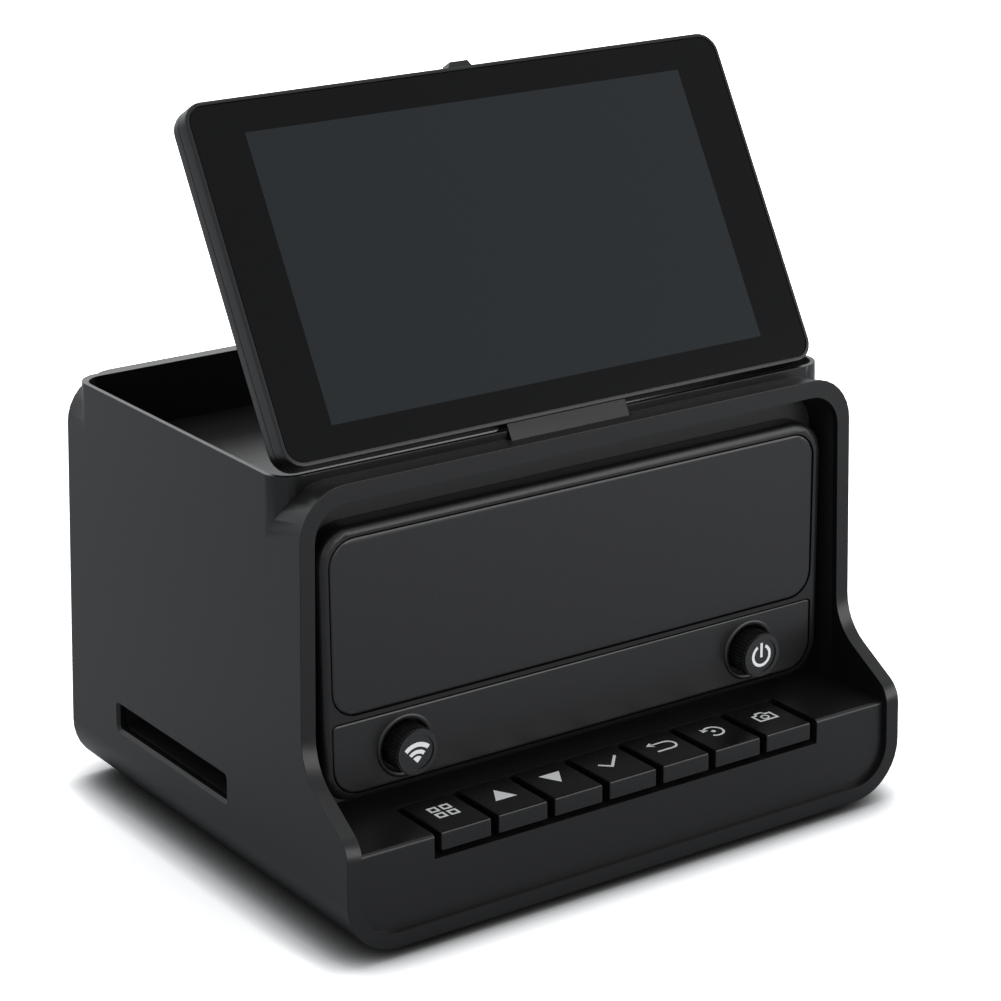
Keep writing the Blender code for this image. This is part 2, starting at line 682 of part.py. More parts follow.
def front_recess():
    """What the front frame surrounds, down to the shelf and the apron."""
    top = BODY_HEIGHT - FRAME_TOP
    opening = front_profile(FRAME_SIDE, FRAME_SIDE, top, FRAME_BOTTOM_CORNER, FRAME_TOP_CORNER)
    recess = extruded("front_recess", opening, -FOOT_REACH - OVERRUN, RECESS_RIM, FRONT)
    liner = extruded("recess_liner", opening, RECESS_RIM - SEAM, RECESS_DEPTH, FRONT)
    narrow = 1 - RECESS_TAPER_SHARE * (RECESS_DEPTH - RECESS_RIM) / half_width(BODY_HEIGHT)
    for corner in liner.data.vertices:
        if corner.co.y > (RECESS_RIM + RECESS_DEPTH) / 2:
            corner.co.x *= narrow
            corner.co.z = BODY_HEIGHT / 2 + (corner.co.z - BODY_HEIGHT / 2) * narrow
    settle(add(recess, liner))
    ahead = -FOOT_REACH - 2 * OVERRUN
    steps = [(ahead, -OVERRUN, 0), (APRON_Y, -OVERRUN, 0), (APRON_Y, SHELF_HEIGHT, SHELF_EDGE),
             (-SHELF_BACK, SHELF_HEIGHT, 0), (RECESS_DEPTH, SHELF_HEIGHT + RECESS_RISE, 0),
             (RECESS_DEPTH + OVERRUN, SHELF_HEIGHT + RECESS_RISE, 0),
             (RECESS_DEPTH + OVERRUN, BODY_HEIGHT + OVERRUN, 0), (ahead, BODY_HEIGHT + OVERRUN, 0)]
    reach = half_width(0) + OVERRUN
    return combine(recess, extruded("recess_steps", steps, -reach, reach, SIDE), "INTERSECT")


def well_hollow():
    wide = half_width(RIM_TOP) - WELL_SIDE_WALL
    inside = rectangle(-wide, wide, WELL_FRONT + WELL_END_WALL, WELL_REAR - 2 * WELL_SIDE_WALL,
                       WELL_CORNER - WELL_SIDE_WALL)
    return extruded("well_hollow", inside, WELL_FLOOR_TOP, RIM_TOP + OVERRUN, PLAN)


def cavity():
    """The hollow for the works, less the screw bosses that stand in it."""
    corner, low, high = BOTTOM_CORNER - WALL, half_width(WALL) - WALL, half_width(CAVITY_TOP) - WALL
    front = [(-low, WALL, corner), (low, WALL, corner), (high, CAVITY_TOP, 0), (-high, CAVITY_TOP, 0)]
    hollow = extruded("cavity", front, -FOOT_REACH, rear_face(0), FRONT)
    ceiling, above = POCKET_FLOOR - POCKET_SKIN, CAVITY_TOP + WALL
    behind = RECESS_DEPTH + RECESS_WALL
    side = [(APRON_Y + WALL, 0, 0), (rear_face(0) - WALL, 0, 0), (rear_face(CAVITY_TOP) - WALL, above, 0),
            (behind, above, 0), (behind, ceiling, 0), (APRON_Y + WALL, ceiling, 0)]
    reach = half_width(0) + OVERRUN
    combine(hollow, extruded("cavity_side", side, -reach, reach, SIDE), "INTERSECT")
    foot, tip, round_end = BASE_THICKNESS + FIT, BOSS_RADIUS, BOSS_RADIUS - SEAM
    for side_name, x in (("left", -SCREW_X), ("right", SCREW_X)):
        front = [(x - tip, APRON_Y, 0), (x + tip, APRON_Y, 0), (x + tip, SCREW_FRONT_Y + tip, round_end),
                 (x - tip, SCREW_FRONT_Y + tip, round_end)]
        rear = [(x - tip, SCREW_REAR_Y - tip, round_end), (x + tip, SCREW_REAR_Y - tip, round_end),
                (x + tip, rear_face(0), 0), (x - tip, rear_face(0), 0)]
        cut(hollow, extruded(f"boss_front_{side_name}", front, foot, POCKET_FLOOR, PLAN),
            extruded(f"boss_rear_{side_name}", rear, foot, foot + BOSS_HEIGHT, PLAN))
    return hollow


def base_outline(grow):
    half = BASE_HALF_WIDTH + grow
    return rectangle(-half, half, -BASE_FRONT - grow, BASE_REAR + grow, BASE_CORNER + grow)


def base_opening():
    return extruded("base_opening", base_outline(FIT), -OVERRUN, WALL + FIT, PLAN)


def boss_holes():
    top = BASE_THICKNESS + SCREW_LENGTH + FIT
    return [cylinder(f"boss_hole_{i}", (x, y, -OVERRUN), (x, y, top), SCREW_SHANK + FIT)
            for i, (x, y) in enumerate(screw_places())]


def screw_places():
    return [(x, y) for y in (SCREW_FRONT_Y, SCREW_REAR_Y) for x in (-SCREW_X, SCREW_X)]


def film_slot():
    mouth = rectangle(SLOT_FRONT, SLOT_REAR, SLOT_BOTTOM, SLOT_TOP, SLOT_CORNER)
    reach = half_width(0) + OVERRUN
    return extruded("film_slot", mouth, -reach, reach, SIDE)


def key_pocket():
    left, right = POCKET_OFFSET - POCKET_WIDTH / 2, POCKET_OFFSET + POCKET_WIDTH / 2
    return block("key_pocket", (left, -FOOT_REACH - OVERRUN, POCKET_FLOOR),
                 (right, -SHELF_BACK, KEY_TOP + OVERRUN))


def key_width():
    return (POCKET_WIDTH - KEY_GAP * (KEY_COUNT + 1)) / KEY_COUNT


def key_centre(index):
    return POCKET_OFFSET + (index - (KEY_COUNT - 1) / 2) * (key_width() + KEY_GAP)


def key_span():
    """The front and back of a key's body."""
    return APRON_Y + SEAM, -SHELF_BACK - KEY_BACK_GAP


def key_stem_holes():
    front, back = key_span()
    middle, half = (front + back) / 2, KEY_STEM / 2 + FIT
    low, high = POCKET_FLOOR - 2 * POCKET_SKIN, POCKET_FLOOR + POCKET_SKIN
    return [block(f"key_stem_hole_{i}", (key_centre(i) - half, middle - half, low),
                  (key_centre(i) + half, middle + half, high)) for i in range(KEY_COUNT)]


def button_places():
    return [(-BUTTON_SPACING / 2, BUTTON_HEIGHT), (BUTTON_SPACING / 2, BUTTON_HEIGHT)]


def switch_holes():
    half = SWITCH_SIDE / 2 + SLIDE_FIT
    near, far = RECESS_DEPTH - OVERRUN / 2, RECESS_DEPTH + RECESS_WALL + WALL
    return [block(f"switch_hole_{i}", (x - half, near, z - half), (x + half, far, z + half))
            for i, (x, z) in enumerate(button_places())]


def socket_base():
    return MAIN_BOARD_HEIGHT + BOARD + FIT


def socket_places():
    """Each socket's name, its width, height and depth, and its middle along the rear wall."""
    return (("power_data_socket", POWER_SOCKET_SIZE, POWER_SOCKET_X),
            ("video_socket", VIDEO_SOCKET_SIZE, VIDEO_SOCKET_X),
            ("card_socket", CARD_SOCKET_SIZE, CARD_SOCKET_X))


def socket_holes():
    holes = []
    for name, (width, height, depth), x in socket_places():
        low, high = socket_base() - FIT, socket_base() + height + FIT
        holes.append(block(f"{name}_hole", (x - width / 2 - FIT, MAIN_BOARD_REAR + FIT, low),
                           (x + width / 2 + FIT, rear_face(low) + OVERRUN, high)))
    return holes


def knuckle_clearance():
    """Room for the display's hinge knuckle to turn in the ledge and the well's front wall."""
    half = KNUCKLE_HALF + KNUCKLE_FIT
    radius = BARREL + KNUCKLE_FIT
    turn = cylinder("knuckle_turn", (-half, HINGE_Y, HINGE_Z), (half, HINGE_Y, HINGE_Z), radius)
    above = block("knuckle_above", (-half, HINGE_Y - radius, HINGE_Z),
                  (half, HINGE_Y + radius, RIM_TOP + OVERRUN))
    return [turn, above]


def build_body():
    return [housing(), base_plate(), *feet(), *base_screws()]


def base_posts():
    """Height and place of each post on the base plate."""
    posts = []
    rail = GUIDE_RAIL + FIT
    for x in (-FOOT_X, FOOT_X):
        for y in (SLOT_FRONT + rail, SLOT_REAR - rail):
            posts.append((x, y, guide_bottom() - FIT))
    for x in (-LIGHT_POST_X, LIGHT_POST_X):
        for y in (GATE_Y - LIGHT_POST_Y, GATE_Y + LIGHT_POST_Y):
            posts.append((x, y, light_board_bottom() - FIT))
    for x in (-MAIN_POST_X, MAIN_POST_X):
        for y in (SLOT_REAR + MAIN_POST_GUIDE_GAP, MAIN_BOARD_REAR - MAIN_POST_REAR_MARGIN):
            posts.append((x, y, MAIN_BOARD_HEIGHT - FIT))
    front, back = key_span()
    for index in (0, KEY_COUNT - 1):
        posts.append((key_centre(index), (front + back) / 2, key_board_bottom() - FIT))
    return posts


def guide_bottom():
    return SLOT_BOTTOM + FIT - GUIDE_PLATE


def light_board_bottom():
    return guide_bottom() - FIT - BOARD


def key_board_bottom():
    stem_end = KEY_BOTTOM - KEY_STEM_DROP
    return stem_end - KEY_TRAVEL - FIT - SWITCH_PLUNGER_HEIGHT - SWITCH_HEIGHT - BOARD


def base_plate():
    plate = extruded("base_plate", base_outline(0), 0, BASE_THICKNESS, PLAN)
    for i, (x, y, top) in enumerate(base_posts()):
        add(plate, cylinder(f"base_post_{i}", (x, y, BASE_THICKNESS / 2), (x, y, top), POST_RADIUS))
    for i, (x, y) in enumerate(screw_places()):
        sunk = SCREW_HEAD_HEIGHT + FIT
        cut(plate, cylinder(f"base_bore_{i}", (x, y, -OVERRUN), (x, y, OVERRUN), SCREW_SHANK + FIT),
            cylinder(f"base_sink_{i}", (x, y, -OVERRUN), (x, y, sunk), SCREW_HEAD + FIT))
    for name, (x, y) in foot_places().items():
        cut(plate, cylinder(f"pocket_{name}", (x, y, -OVERRUN), (x, y, FOOT_POCKET),
                            FOOT_RADIUS + FIT))
    return piece(plate, "internal_abs")


def foot_places():
    return {"foot_front_left": (-FOOT_X, FOOT_FRONT_Y), "foot_front_right": (FOOT_X, FOOT_FRONT_Y),
            "foot_rear_left": (-FOOT_X, FOOT_REAR_Y), "foot_rear_right": (FOOT_X, FOOT_REAR_Y)}


def feet():
    made = []
    for name, (x, y) in foot_places().items():
        top, low = FOOT_POCKET - FIT, -FOOT_HEIGHT
        profile = [(0, top), (FOOT_RADIUS, top), (FOOT_RADIUS, low + FOOT_EDGE),
                   (FOOT_RADIUS - FOOT_EDGE, low), (0, low)]
        made.append(piece(turned(name, profile, (x, y, 0), (0, 0, 1), "cutters"), "rubber"))
    return made


def base_screws():
    names = ("base_screw_front_left", "base_screw_front_right", "base_screw_rear_left",
             "base_screw_rear_right")
    made = []
    for name, (x, y) in zip(names, screw_places()):
        top = BASE_THICKNESS + SCREW_LENGTH
        profile = [(0, top), (SCREW_SHANK, top), (SCREW_SHANK, SCREW_HEAD_HEIGHT),
                   (SCREW_HEAD, SCREW_HEAD_HEIGHT), (SCREW_HEAD, FIT), (0, FIT)]
        made.append(piece(turned(name, profile, (x, y, 0), (0, 0, 1), "cutters"), "zinc_steel"))
    return made


def fascia():
    half = FASCIA_WIDTH / 2
    back = RECESS_DEPTH - FIT
    outer = rectangle(-half, half, FASCIA_BOTTOM, FASCIA_TOP, FASCIA_CORNER)
    shell = extruded("fascia", outer, FASCIA_FACE, back, FRONT)
    round_edges(shell, FASCIA_ROUND, between((0, -1, 0)), 3)
    cut(shell, panel_pocket(), strip_pocket())
    inner = rectangle(-half + FASCIA_SKIN, half - FASCIA_SKIN, FASCIA_BOTTOM + FASCIA_SKIN,
                      FASCIA_TOP - FASCIA_SKIN, FASCIA_CORNER - FASCIA_SKIN)
    floor = strip_floor() + FASCIA_SKIN
    cut(shell, extruded("fascia_hollow", inner, floor, back + OVERRUN, FRONT))
    for i, (x, z) in enumerate(button_places()):
        cut(shell, cylinder(f"fascia_bore_{i}", (x, FASCIA_FACE, z), (x, back + OVERRUN, z),
                            BUTTON_STEM + FIT))
    return piece(settle(shell), "moulded_black_abs")


def strip_floor():
    return FASCIA_FACE + STRIP_THICKNESS + FIT


def panel_outline(grow):
    half = PANEL_WIDTH / 2 + grow
    return rectangle(-half, half, PANEL_BOTTOM - grow, PANEL_TOP + grow, PANEL_CORNER + grow)


def strip_outline(grow):
    half = STRIP_WIDTH / 2 + grow
    low, high = STRIP_BOTTOM - grow, STRIP_TOP + grow
    return [(-half, low, STRIP_CORNER + grow), (half, low, STRIP_CORNER + grow),
            (half, high, STRIP_SQUARE + grow), (-half, high, STRIP_SQUARE + grow)]


def panel_pocket():
    return extruded("panel_pocket", panel_outline(SLIDE_FIT), FASCIA_FACE - OVERRUN,
                    FASCIA_FACE + PANEL_THICKNESS + FIT, FRONT)


def strip_pocket():
    return extruded("strip_pocket", strip_outline(SLIDE_FIT), FASCIA_FACE - OVERRUN, strip_floor(),
                    FRONT)


def front_panel():
    plate = extruded("front_panel", panel_outline(0), FASCIA_FACE, FASCIA_FACE + PANEL_THICKNESS, FRONT)
    round_edges(plate, PANEL_ROUND, between((0, -1, 0)), 2)
    return piece(plate, "satin_black_abs")


def control_strip():
    back, hole = FASCIA_FACE + STRIP_THICKNESS, BUTTON_RADIUS + BUTTON_ROOM
    plate = extruded("control_strip", strip_outline(0), FASCIA_FACE, back, FRONT)
    round_edges(plate, STRIP_ROUND, between((0, -1, 0)), 2)
    for i, (x, z) in enumerate(button_places()):
        near, far = FASCIA_FACE - HOLE_LEAD, FASCIA_FACE + HOLE_LEAD
        cut(plate, cylinder(f"strip_hole_{i}", (x, FASCIA_FACE - OVERRUN, z), (x, back + OVERRUN, z), hole),
            cylinder(f"strip_lead_{i}", (x, near, z), (x, far, z), hole + 2 * HOLE_LEAD, end_radius=hole))
    return piece(settle(plate), "satin_black_abs")


def button_face():
    return FASCIA_FACE - BUTTON_STANDOFF


def knurled_outline(x, z):
    """A round outline with an even wave for the grip."""
    points = []
    for k in range(2 * KNURL_COUNT):
        radius = BUTTON_RADIUS - (KNURL_DEPTH if k % 2 else 0)
        angle = math.pi * k / KNURL_COUNT
        points.append((x + radius * math.cos(angle), z + radius * math.sin(angle), 0))
    return points


def push_buttons():
    made = []
    back = strip_floor() - BUTTON_TRAVEL - FIT
    for name, (x, z) in zip(("wireless_button", "power_button"), button_places()):
        face = button_face()
        cap = extruded(name, knurled_outline(x, z), face + BUTTON_EDGE, back, FRONT)
        shoulder = back - BUTTON_EDGE
        add(cap, cylinder(f"{name}_face", (x, face, z), (x, shoulder, z), BUTTON_RADIUS - KNURL_DEPTH - SEAM),
            cylinder(f"{name}_stem", (x, shoulder, z), (x, stem_end(), z), BUTTON_STEM))
        cut(cap, cylinder(f"{name}_disc", (x, face - OVERRUN, z), (x, face + BUTTON_DISC_DEPTH, z),
                          BUTTON_RADIUS - BUTTON_RIM))
        made.append(origin_at(piece(settle(cap), "knurled_abs"), (x, back, z)))
    return made


def stem_end():
    """Where a round button's stem ends at rest, clear of its switch by its travel."""
    return button_board_front() - SWITCH_HEIGHT - BUTTON_TRAVEL - SWITCH_STEM_GAP


def button_board_front():
    return RECESS_DEPTH + RECESS_WALL + FIT


def keys():
    names = ("menu_key", "up_key", "down_key", "confirm_key", "back_key", "rotate_key", "camera_key")
    front, back = key_span()
    made = []
    for index, name in enumerate(names):
        middle, half = key_centre(index), key_width() / 2
        key = block(name, (middle - half, front, KEY_BOTTOM), (middle + half, back, KEY_TOP))
        round_edges(key, KEY_EDGE, above_the_foot, 2)
        stem, depth = KEY_STEM / 2, (front + back) / 2
        add(key, block(f"{name}_stem", (middle - stem, depth - stem, KEY_BOTTOM - KEY_STEM_DROP),
                       (middle + stem, depth + stem, (KEY_BOTTOM + KEY_TOP) / 2)))
        made.append(origin_at(piece(settle(key), "key_abs"), (middle, depth, KEY_TOP)))
    return made


def above_the_foot(first, second, edge):
    """A key's top and upright edges."""
    return any(corner.co.z > (KEY_BOTTOM + KEY_TOP) / 2 for corner in edge.verts)


def key_board():
    low, top = key_board_bottom(), key_board_bottom() + BOARD
    half, near = KEY_BOARD_WIDTH / 2, APRON_Y + WALL + APRON_BOARD_GAP
    board = block("key_board", (-half, near, low), (half, near + KEY_BOARD_DEPTH, top))
    front, back = key_span()
    y, side, body_top = (front + back) / 2, SWITCH_SIDE / 2, top + SWITCH_HEIGHT
    for i in range(KEY_COUNT):
        x = key_centre(i)
        add(board, block(f"key_switch_{i}", (x - side, y - side, low + BOARD / 2),
                         (x + side, y + side, body_top)),
            cylinder(f"key_plunger_{i}", (x, y, top), (x, y, body_top + SWITCH_PLUNGER_HEIGHT),
                     SWITCH_PLUNGER))
    return piece(settle(board), "board_laminate")


def button_board():
    front, half = button_board_front(), BUTTON_BOARD_WIDTH / 2
    reach = BUTTON_BOARD_HEIGHT / 2
    board = block("button_board", (-half, front, BUTTON_HEIGHT - reach),
                  (half, front + BOARD, BUTTON_HEIGHT + reach))
    side = SWITCH_SIDE / 2
    for i, (x, z) in enumerate(button_places()):
        add(board, block(f"button_switch_{i}", (x - side, front - SWITCH_HEIGHT, z - side),
                         (x + side, front + BOARD / 2, z + side)))
    return piece(settle(board), "board_laminate")


def build_front():
    return [fascia(), front_panel(), control_strip(), *push_buttons(), *keys(), key_board(),
            button_board()]


def guide_half():
    return half_width(SLOT_BOTTOM) - WALL - GUIDE_INSET


def gate_window(name, low, high, grow):
    length, width = GATE_LENGTH / 2 + grow, GATE_WIDTH / 2 + grow
    window = rectangle(-length, length, GATE_Y - width, GATE_Y + width, GATE_ROUND)
    return extruded(name, window, low, high, PLAN)


def film_guides():
    """The lower guide with its rails and lamp window, and the upper guide over it."""
    half, low = guide_half(), guide_bottom()
    front, rear = SLOT_FRONT - GUIDE_RAIL - FIT, SLOT_REAR + GUIDE_RAIL + FIT
    floor, ceiling = SLOT_BOTTOM + FIT, SLOT_TOP - FIT
    lower = block("film_guide_lower", (-half, front, low), (half, rear, floor))
    for name, near in (("rail_front", front), ("rail_rear", rear - GUIDE_RAIL)):
        add(lower, block(name, (-half, near, low), (half, near + GUIDE_RAIL, ceiling - FIT)))
    cut(lower, gate_window("lamp_window", low - OVERRUN, floor + OVERRUN, DIFFUSER_MARGIN + FIT))
    upper = block("film_guide_upper", (-half, front, ceiling), (half, rear, ceiling + GUIDE_PLATE))
    cut(upper, gate_window("film_window", ceiling - OVERRUN, ceiling + OVERRUN, 0))
    return [piece(settle(lower), "internal_abs"), piece(settle(upper), "internal_abs")]


def lamp():
    """The opal diffuser in the lamp window and the lamp board under it."""
    top = light_board_bottom() + BOARD
    diffuser = gate_window("lamp_diffuser", top + FIT, top + FIT + DIFFUSER_THICKNESS, DIFFUSER_MARGIN)
    long, wide = LIGHT_BOARD_LENGTH / 2, LIGHT_BOARD_WIDTH / 2
    board = block("lamp_board", (-long, GATE_Y - wide, light_board_bottom()), (long, GATE_Y + wide, top))
    return [piece(diffuser, "opal_acrylic"), piece(board, "board_laminate")]


def camera_foot():
    return SLOT_TOP + GUIDE_PLATE


def camera_top():
    return CAVITY_TOP - CAMERA_HEADROOM


def camera_bracket():
    """The stand over the film gate that carries the lens and the image sensor."""
    half, low, high = CAMERA_WIDTH / 2, camera_foot(), camera_top()
    inner, under = half - CAMERA_WALL, high - CAMERA_WALL
    corners = [(-half, low, 0), (-inner, low, 0), (-inner, under, CAMERA_WALL), (inner, under, CAMERA_WALL),
               (inner, low, 0), (half, low, 0), (half, high, 2 * CAMERA_WALL),
               (-half, high, 2 * CAMERA_WALL)]
    front, rear = GATE_Y - CAMERA_DEPTH / 2, GATE_Y + CAMERA_DEPTH / 2
    stand = extruded("camera_bracket", corners, front, rear, FRONT)
    cut(stand, cylinder("lens_seat", (0, GATE_Y, high - OVERRUN / 2), (0, GATE_Y, high + OVERRUN),
                        BARREL_RADIUS + FIT))
    window = rectangle(GATE_Y - CAMERA_WINDOW / 2, GATE_Y + CAMERA_WINDOW / 2, low + CAMERA_WALL * 3,
                       high - CAMERA_WALL * 4, CAMERA_WALL)
    cut(stand, extruded("bracket_window", window, -half - OVERRUN, half + OVERRUN, SIDE))
    return piece(settle(stand), "internal_abs")


def camera():
    """The lens barrel, its front lens and the sensor board on the stand."""
    high, axis = camera_top(), (0, GATE_Y, 0)
    flange, low = high - CAMERA_WALL - FIT, high - BARREL_LENGTH
    under, bore_top = flange - BARREL_FLANGE_THICKNESS, high - BARREL_FLANGE_THICKNESS
    eye = BARREL_BORE - LENS_INSET
    profile = [(eye, high), (BARREL_RADIUS, high), (BARREL_RADIUS, flange), (BARREL_FLANGE, flange),
               (BARREL_FLANGE, under), (BARREL_RADIUS, under), (BARREL_RADIUS, low), (BARREL_BORE, low),
               (BARREL_BORE, bore_top), (eye, bore_top)]
    barrel = turned("lens_barrel", profile, axis, (0, 0, 1), "cutters")
    glass_low, radius = low + LENS_INSET, BARREL_BORE - FIT
    crown, steps = glass_low + LENS_THICKNESS, 6
    dome = []
    for k in range(steps + 1):
        turn = math.pi / 2 * k / steps
        dome.append((radius * math.sin(turn), crown - LENS_INSET / 2 * (1 - math.cos(turn))))
    lens = turned("front_lens", dome + [(radius, glass_low), (0, glass_low)], axis, (0, 0, 1), "cutters")
    half, chip, reach = SENSOR_BOARD_SIDE / 2, SENSOR_CHIP_SIDE / 2, CAMERA_DEPTH / 2
    board_low, board_top = high + FIT, high + FIT + BOARD
    board = block("sensor_board", (-half, GATE_Y - reach, board_low), (half, GATE_Y + reach, board_top))
    add(board, block("sensor_chip", (-chip, GATE_Y - chip, board_low + BOARD / 2),
                     (chip, GATE_Y + chip, board_top + SENSOR_CHIP_HEIGHT)))
    return [piece(barrel, "anodised_black"), piece(lens, "lens_glass"),
            piece(settle(board), "board_laminate")]


def main_board():
    half, top, side = MAIN_BOARD_WIDTH / 2, MAIN_BOARD_HEIGHT + BOARD, MAIN_CHIP_SIDE
    board = block("main_board", (-half, MAIN_BOARD_FRONT, MAIN_BOARD_HEIGHT), (half, MAIN_BOARD_REAR, top))
    near = MAIN_BOARD_FRONT + side / 4
    for i, x in enumerate((-half + side, half - 2 * side)):
        add(board, block(f"main_chip_{i}", (x, near, top - BOARD / 2),
                         (x + side, near + side, top + MAIN_CHIP_HEIGHT)))
    return piece(settle(board), "board_laminate")


def sockets():
    """Open metal shells with a tongue, facing out through the rear wall."""
    made = []
    for name, (width, height, depth), x in socket_places():
        low = socket_base()
        mouth = rear_face(low) - SOCKET_SETBACK
        shell = block(name, (x - width / 2, mouth - depth, low), (x + width / 2, mouth, low + height))
        clear = width / 2 - SOCKET_SHELL
        inner = block(f"{name}_hollow", (x - clear, mouth - depth / 2, low + SOCKET_SHELL),
                      (x + clear, mouth + OVERRUN, low + height - SOCKET_SHELL))
        middle = low + height / 2
        tongue = block(f"{name}_tongue", (x - width / 4, mouth - depth * 3 / 4, middle - SOCKET_TONGUE / 2),
                       (x + width / 4, mouth - depth / 8, middle + SOCKET_TONGUE / 2))
        cut(shell, inner)
        add(shell, tongue)
        made.append(piece(settle(shell), "socket_steel"))
    return made


def build_works():
    return [*film_guides(), *lamp(), camera_bracket(), *camera(), main_board(), *sockets()]


def lid_outline(inset, radius):
    half = LID_WIDTH / 2 - inset
    return rectangle(-half, half, LID_HEEL + inset, LID_HEEL + LID_LENGTH - inset, radius)


def lid_middle():
    return LID_HEEL + LID_LENGTH / 2


def centred(width, length, radius=0):
    return rectangle(-width / 2, width / 2, lid_middle() - length / 2, lid_middle() + length / 2, radius)


def lid_frame():
    """The display's front frame, with the finger tab and the hinge knuckle moulded on."""
    face, split = BARREL, BARREL - LID_SPLIT + FIT
    frame = extruded("lid_frame", lid_outline(0, LID_CORNER), split, face, PLAN)
    round_edges(frame, LID_EDGE, between((0, 0, 1)), 2)
    glass_floor = face - GLASS_RECESS - GLASS_THICKNESS - FIT
    pocket = lid_outline(GLASS_LIP, LID_CORNER - GLASS_LIP)
    window = centred(LCD_WIDTH + 2 * FIT, LCD_LENGTH + 2 * FIT)
    cut(frame, extruded("glass_pocket", pocket, glass_floor, face + OVERRUN, PLAN),
        extruded("lcd_window", window, -OVERRUN, face + OVERRUN, PLAN))
    top, half = LID_HEEL + LID_LENGTH, TAB_WIDTH / 2
    root = top - GLASS_LIP + SEAM
    tab = [(-half, root, 0), (half, root, 0), (half, top, 0),
           (half - TAB_SLOPE, top + TAB_HEIGHT, 0), (TAB_SLOPE - half, top + TAB_HEIGHT, 0), (-half, top, 0)]
    add(frame, extruded("finger_tab", tab, face - LID_EDGE - TAB_THICKNESS, face - LID_EDGE, PLAN))
    add(frame, hinge_knuckle())
    return piece(settle(frame), "moulded_black_abs")


def hinge_knuckle():
    """The barrel under the display's heel, open at the back for the hinge bracket."""
    heel = LID_HEEL + GLASS_LIP / 2
    low = BARREL - LID_SPLIT + FIT
    arc = [(BARREL * math.cos(turn), BARREL * math.sin(turn), 0)
           for turn in (math.radians(angle) for angle in range(90, 361, 15))]
    neck = [(heel, low, 0), (heel, BARREL - GLASS_RECESS - GLASS_THICKNESS, 0), (LID_HEEL - SEAM, BARREL, 0)]
    barrel = extruded("knuckle_barrel", neck + arc, -KNUCKLE_HALF, KNUCKLE_HALF, SIDE)
    bore = KNUCKLE_HALF + OVERRUN
    pin = cylinder("knuckle_bore", (-bore, 0, 0), (bore, 0, 0), PIN_RADIUS + FIT)
    slot = HINGE_BRACKET_HALF + KNUCKLE_FIT
    eye = HINGE_BRACKET_EYE + HINGE_BRACKET_GAP
    far = BARREL + BARREL / 2
    wedge = [(-SEAM, HINGE_BRACKET_GAP * 2, 0), (-far, -far / 5, 0), (-far, -far, 0), (eye, -far, 0),
             (eye, 0, 0)]
    cut(barrel, cylinder("eye_room", (-slot, 0, 0), (slot, 0, 0), eye),
        extruded("bracket_room", wedge, -slot, slot, SIDE), pin)
    return barrel


def display_glass():
    top = BARREL - GLASS_RECESS
    inset = GLASS_LIP + FIT
    glass = extruded("display_glass", lid_outline(inset, LID_CORNER - inset), top - GLASS_THICKNESS,
                     top, PLAN)
    return piece(glass, "cover_glass")


def lcd_top():
    return BARREL - GLASS_RECESS - GLASS_THICKNESS - PANEL_GLASS_GAP


def lcd_panel():
    panel = extruded("lcd_panel", centred(LCD_WIDTH, LCD_LENGTH), lcd_top() - LCD_THICKNESS, lcd_top(),
                     PLAN)
    return piece(panel, "display_panel")


def bulge_floor():
    return BARREL - LID_THICKNESS - BULGE_HEIGHT


def lid_back_cover():
    """The display's rear shell, with the raised housing for its electronics."""
    face, split, back = BARREL, BARREL - LID_SPLIT, BARREL - LID_THICKNESS
    cover = extruded("lid_back_cover", lid_outline(0, LID_CORNER), back, split, PLAN)
    round_edges(cover, LID_BACK_EDGE, between((0, 0, -1)), 3)
    bulge = extruded("cover_bulge", centred(BULGE_WIDTH, BULGE_LENGTH, BULGE_CORNER), bulge_floor(),
                     back + LID_SKIN / 2, PLAN)
    round_edges(bulge, BULGE_EDGE, between((0, 0, -1)), 2)
    add(cover, bulge)
    inner = lid_outline(LID_SKIN, LID_CORNER - LID_SKIN)
    bulge_inner = centred(BULGE_WIDTH - 2 * LID_SKIN, BULGE_LENGTH - 2 * LID_SKIN,
                          BULGE_CORNER - LID_SKIN)
    cut(cover, extruded("cover_hollow", inner, back + LID_SKIN, face, PLAN),
        extruded("bulge_hollow", bulge_inner, bulge_floor() + LID_SKIN, face, PLAN))
    half, long = LID_BOARD_WIDTH / 2 - POST_RADIUS, LID_BOARD_LENGTH / 2 - POST_RADIUS
    for i, (x, y) in enumerate(((-half, -long), (half, -long), (-half, long), (half, long))):
        add(cover, cylinder(f"cover_post_{i}", (x, lid_middle() + y, bulge_floor() + LID_SKIN / 2),
                            (x, lid_middle() + y, lid_board_bottom() - FIT), POST_RADIUS / 2))
    return piece(settle(cover), "moulded_black_abs")


def lid_board_bottom():
    return bulge_floor() + LID_SKIN + BOARD


def lid_board():
    board = extruded("display_board", centred(LID_BOARD_WIDTH, LID_BOARD_LENGTH), lid_board_bottom(),
                     lid_board_bottom() + BOARD, PLAN)
    return piece(board, "board_laminate")


def build_lid():
    return [lid_frame(), display_glass(), lcd_panel(), lid_back_cover(), lid_board()]


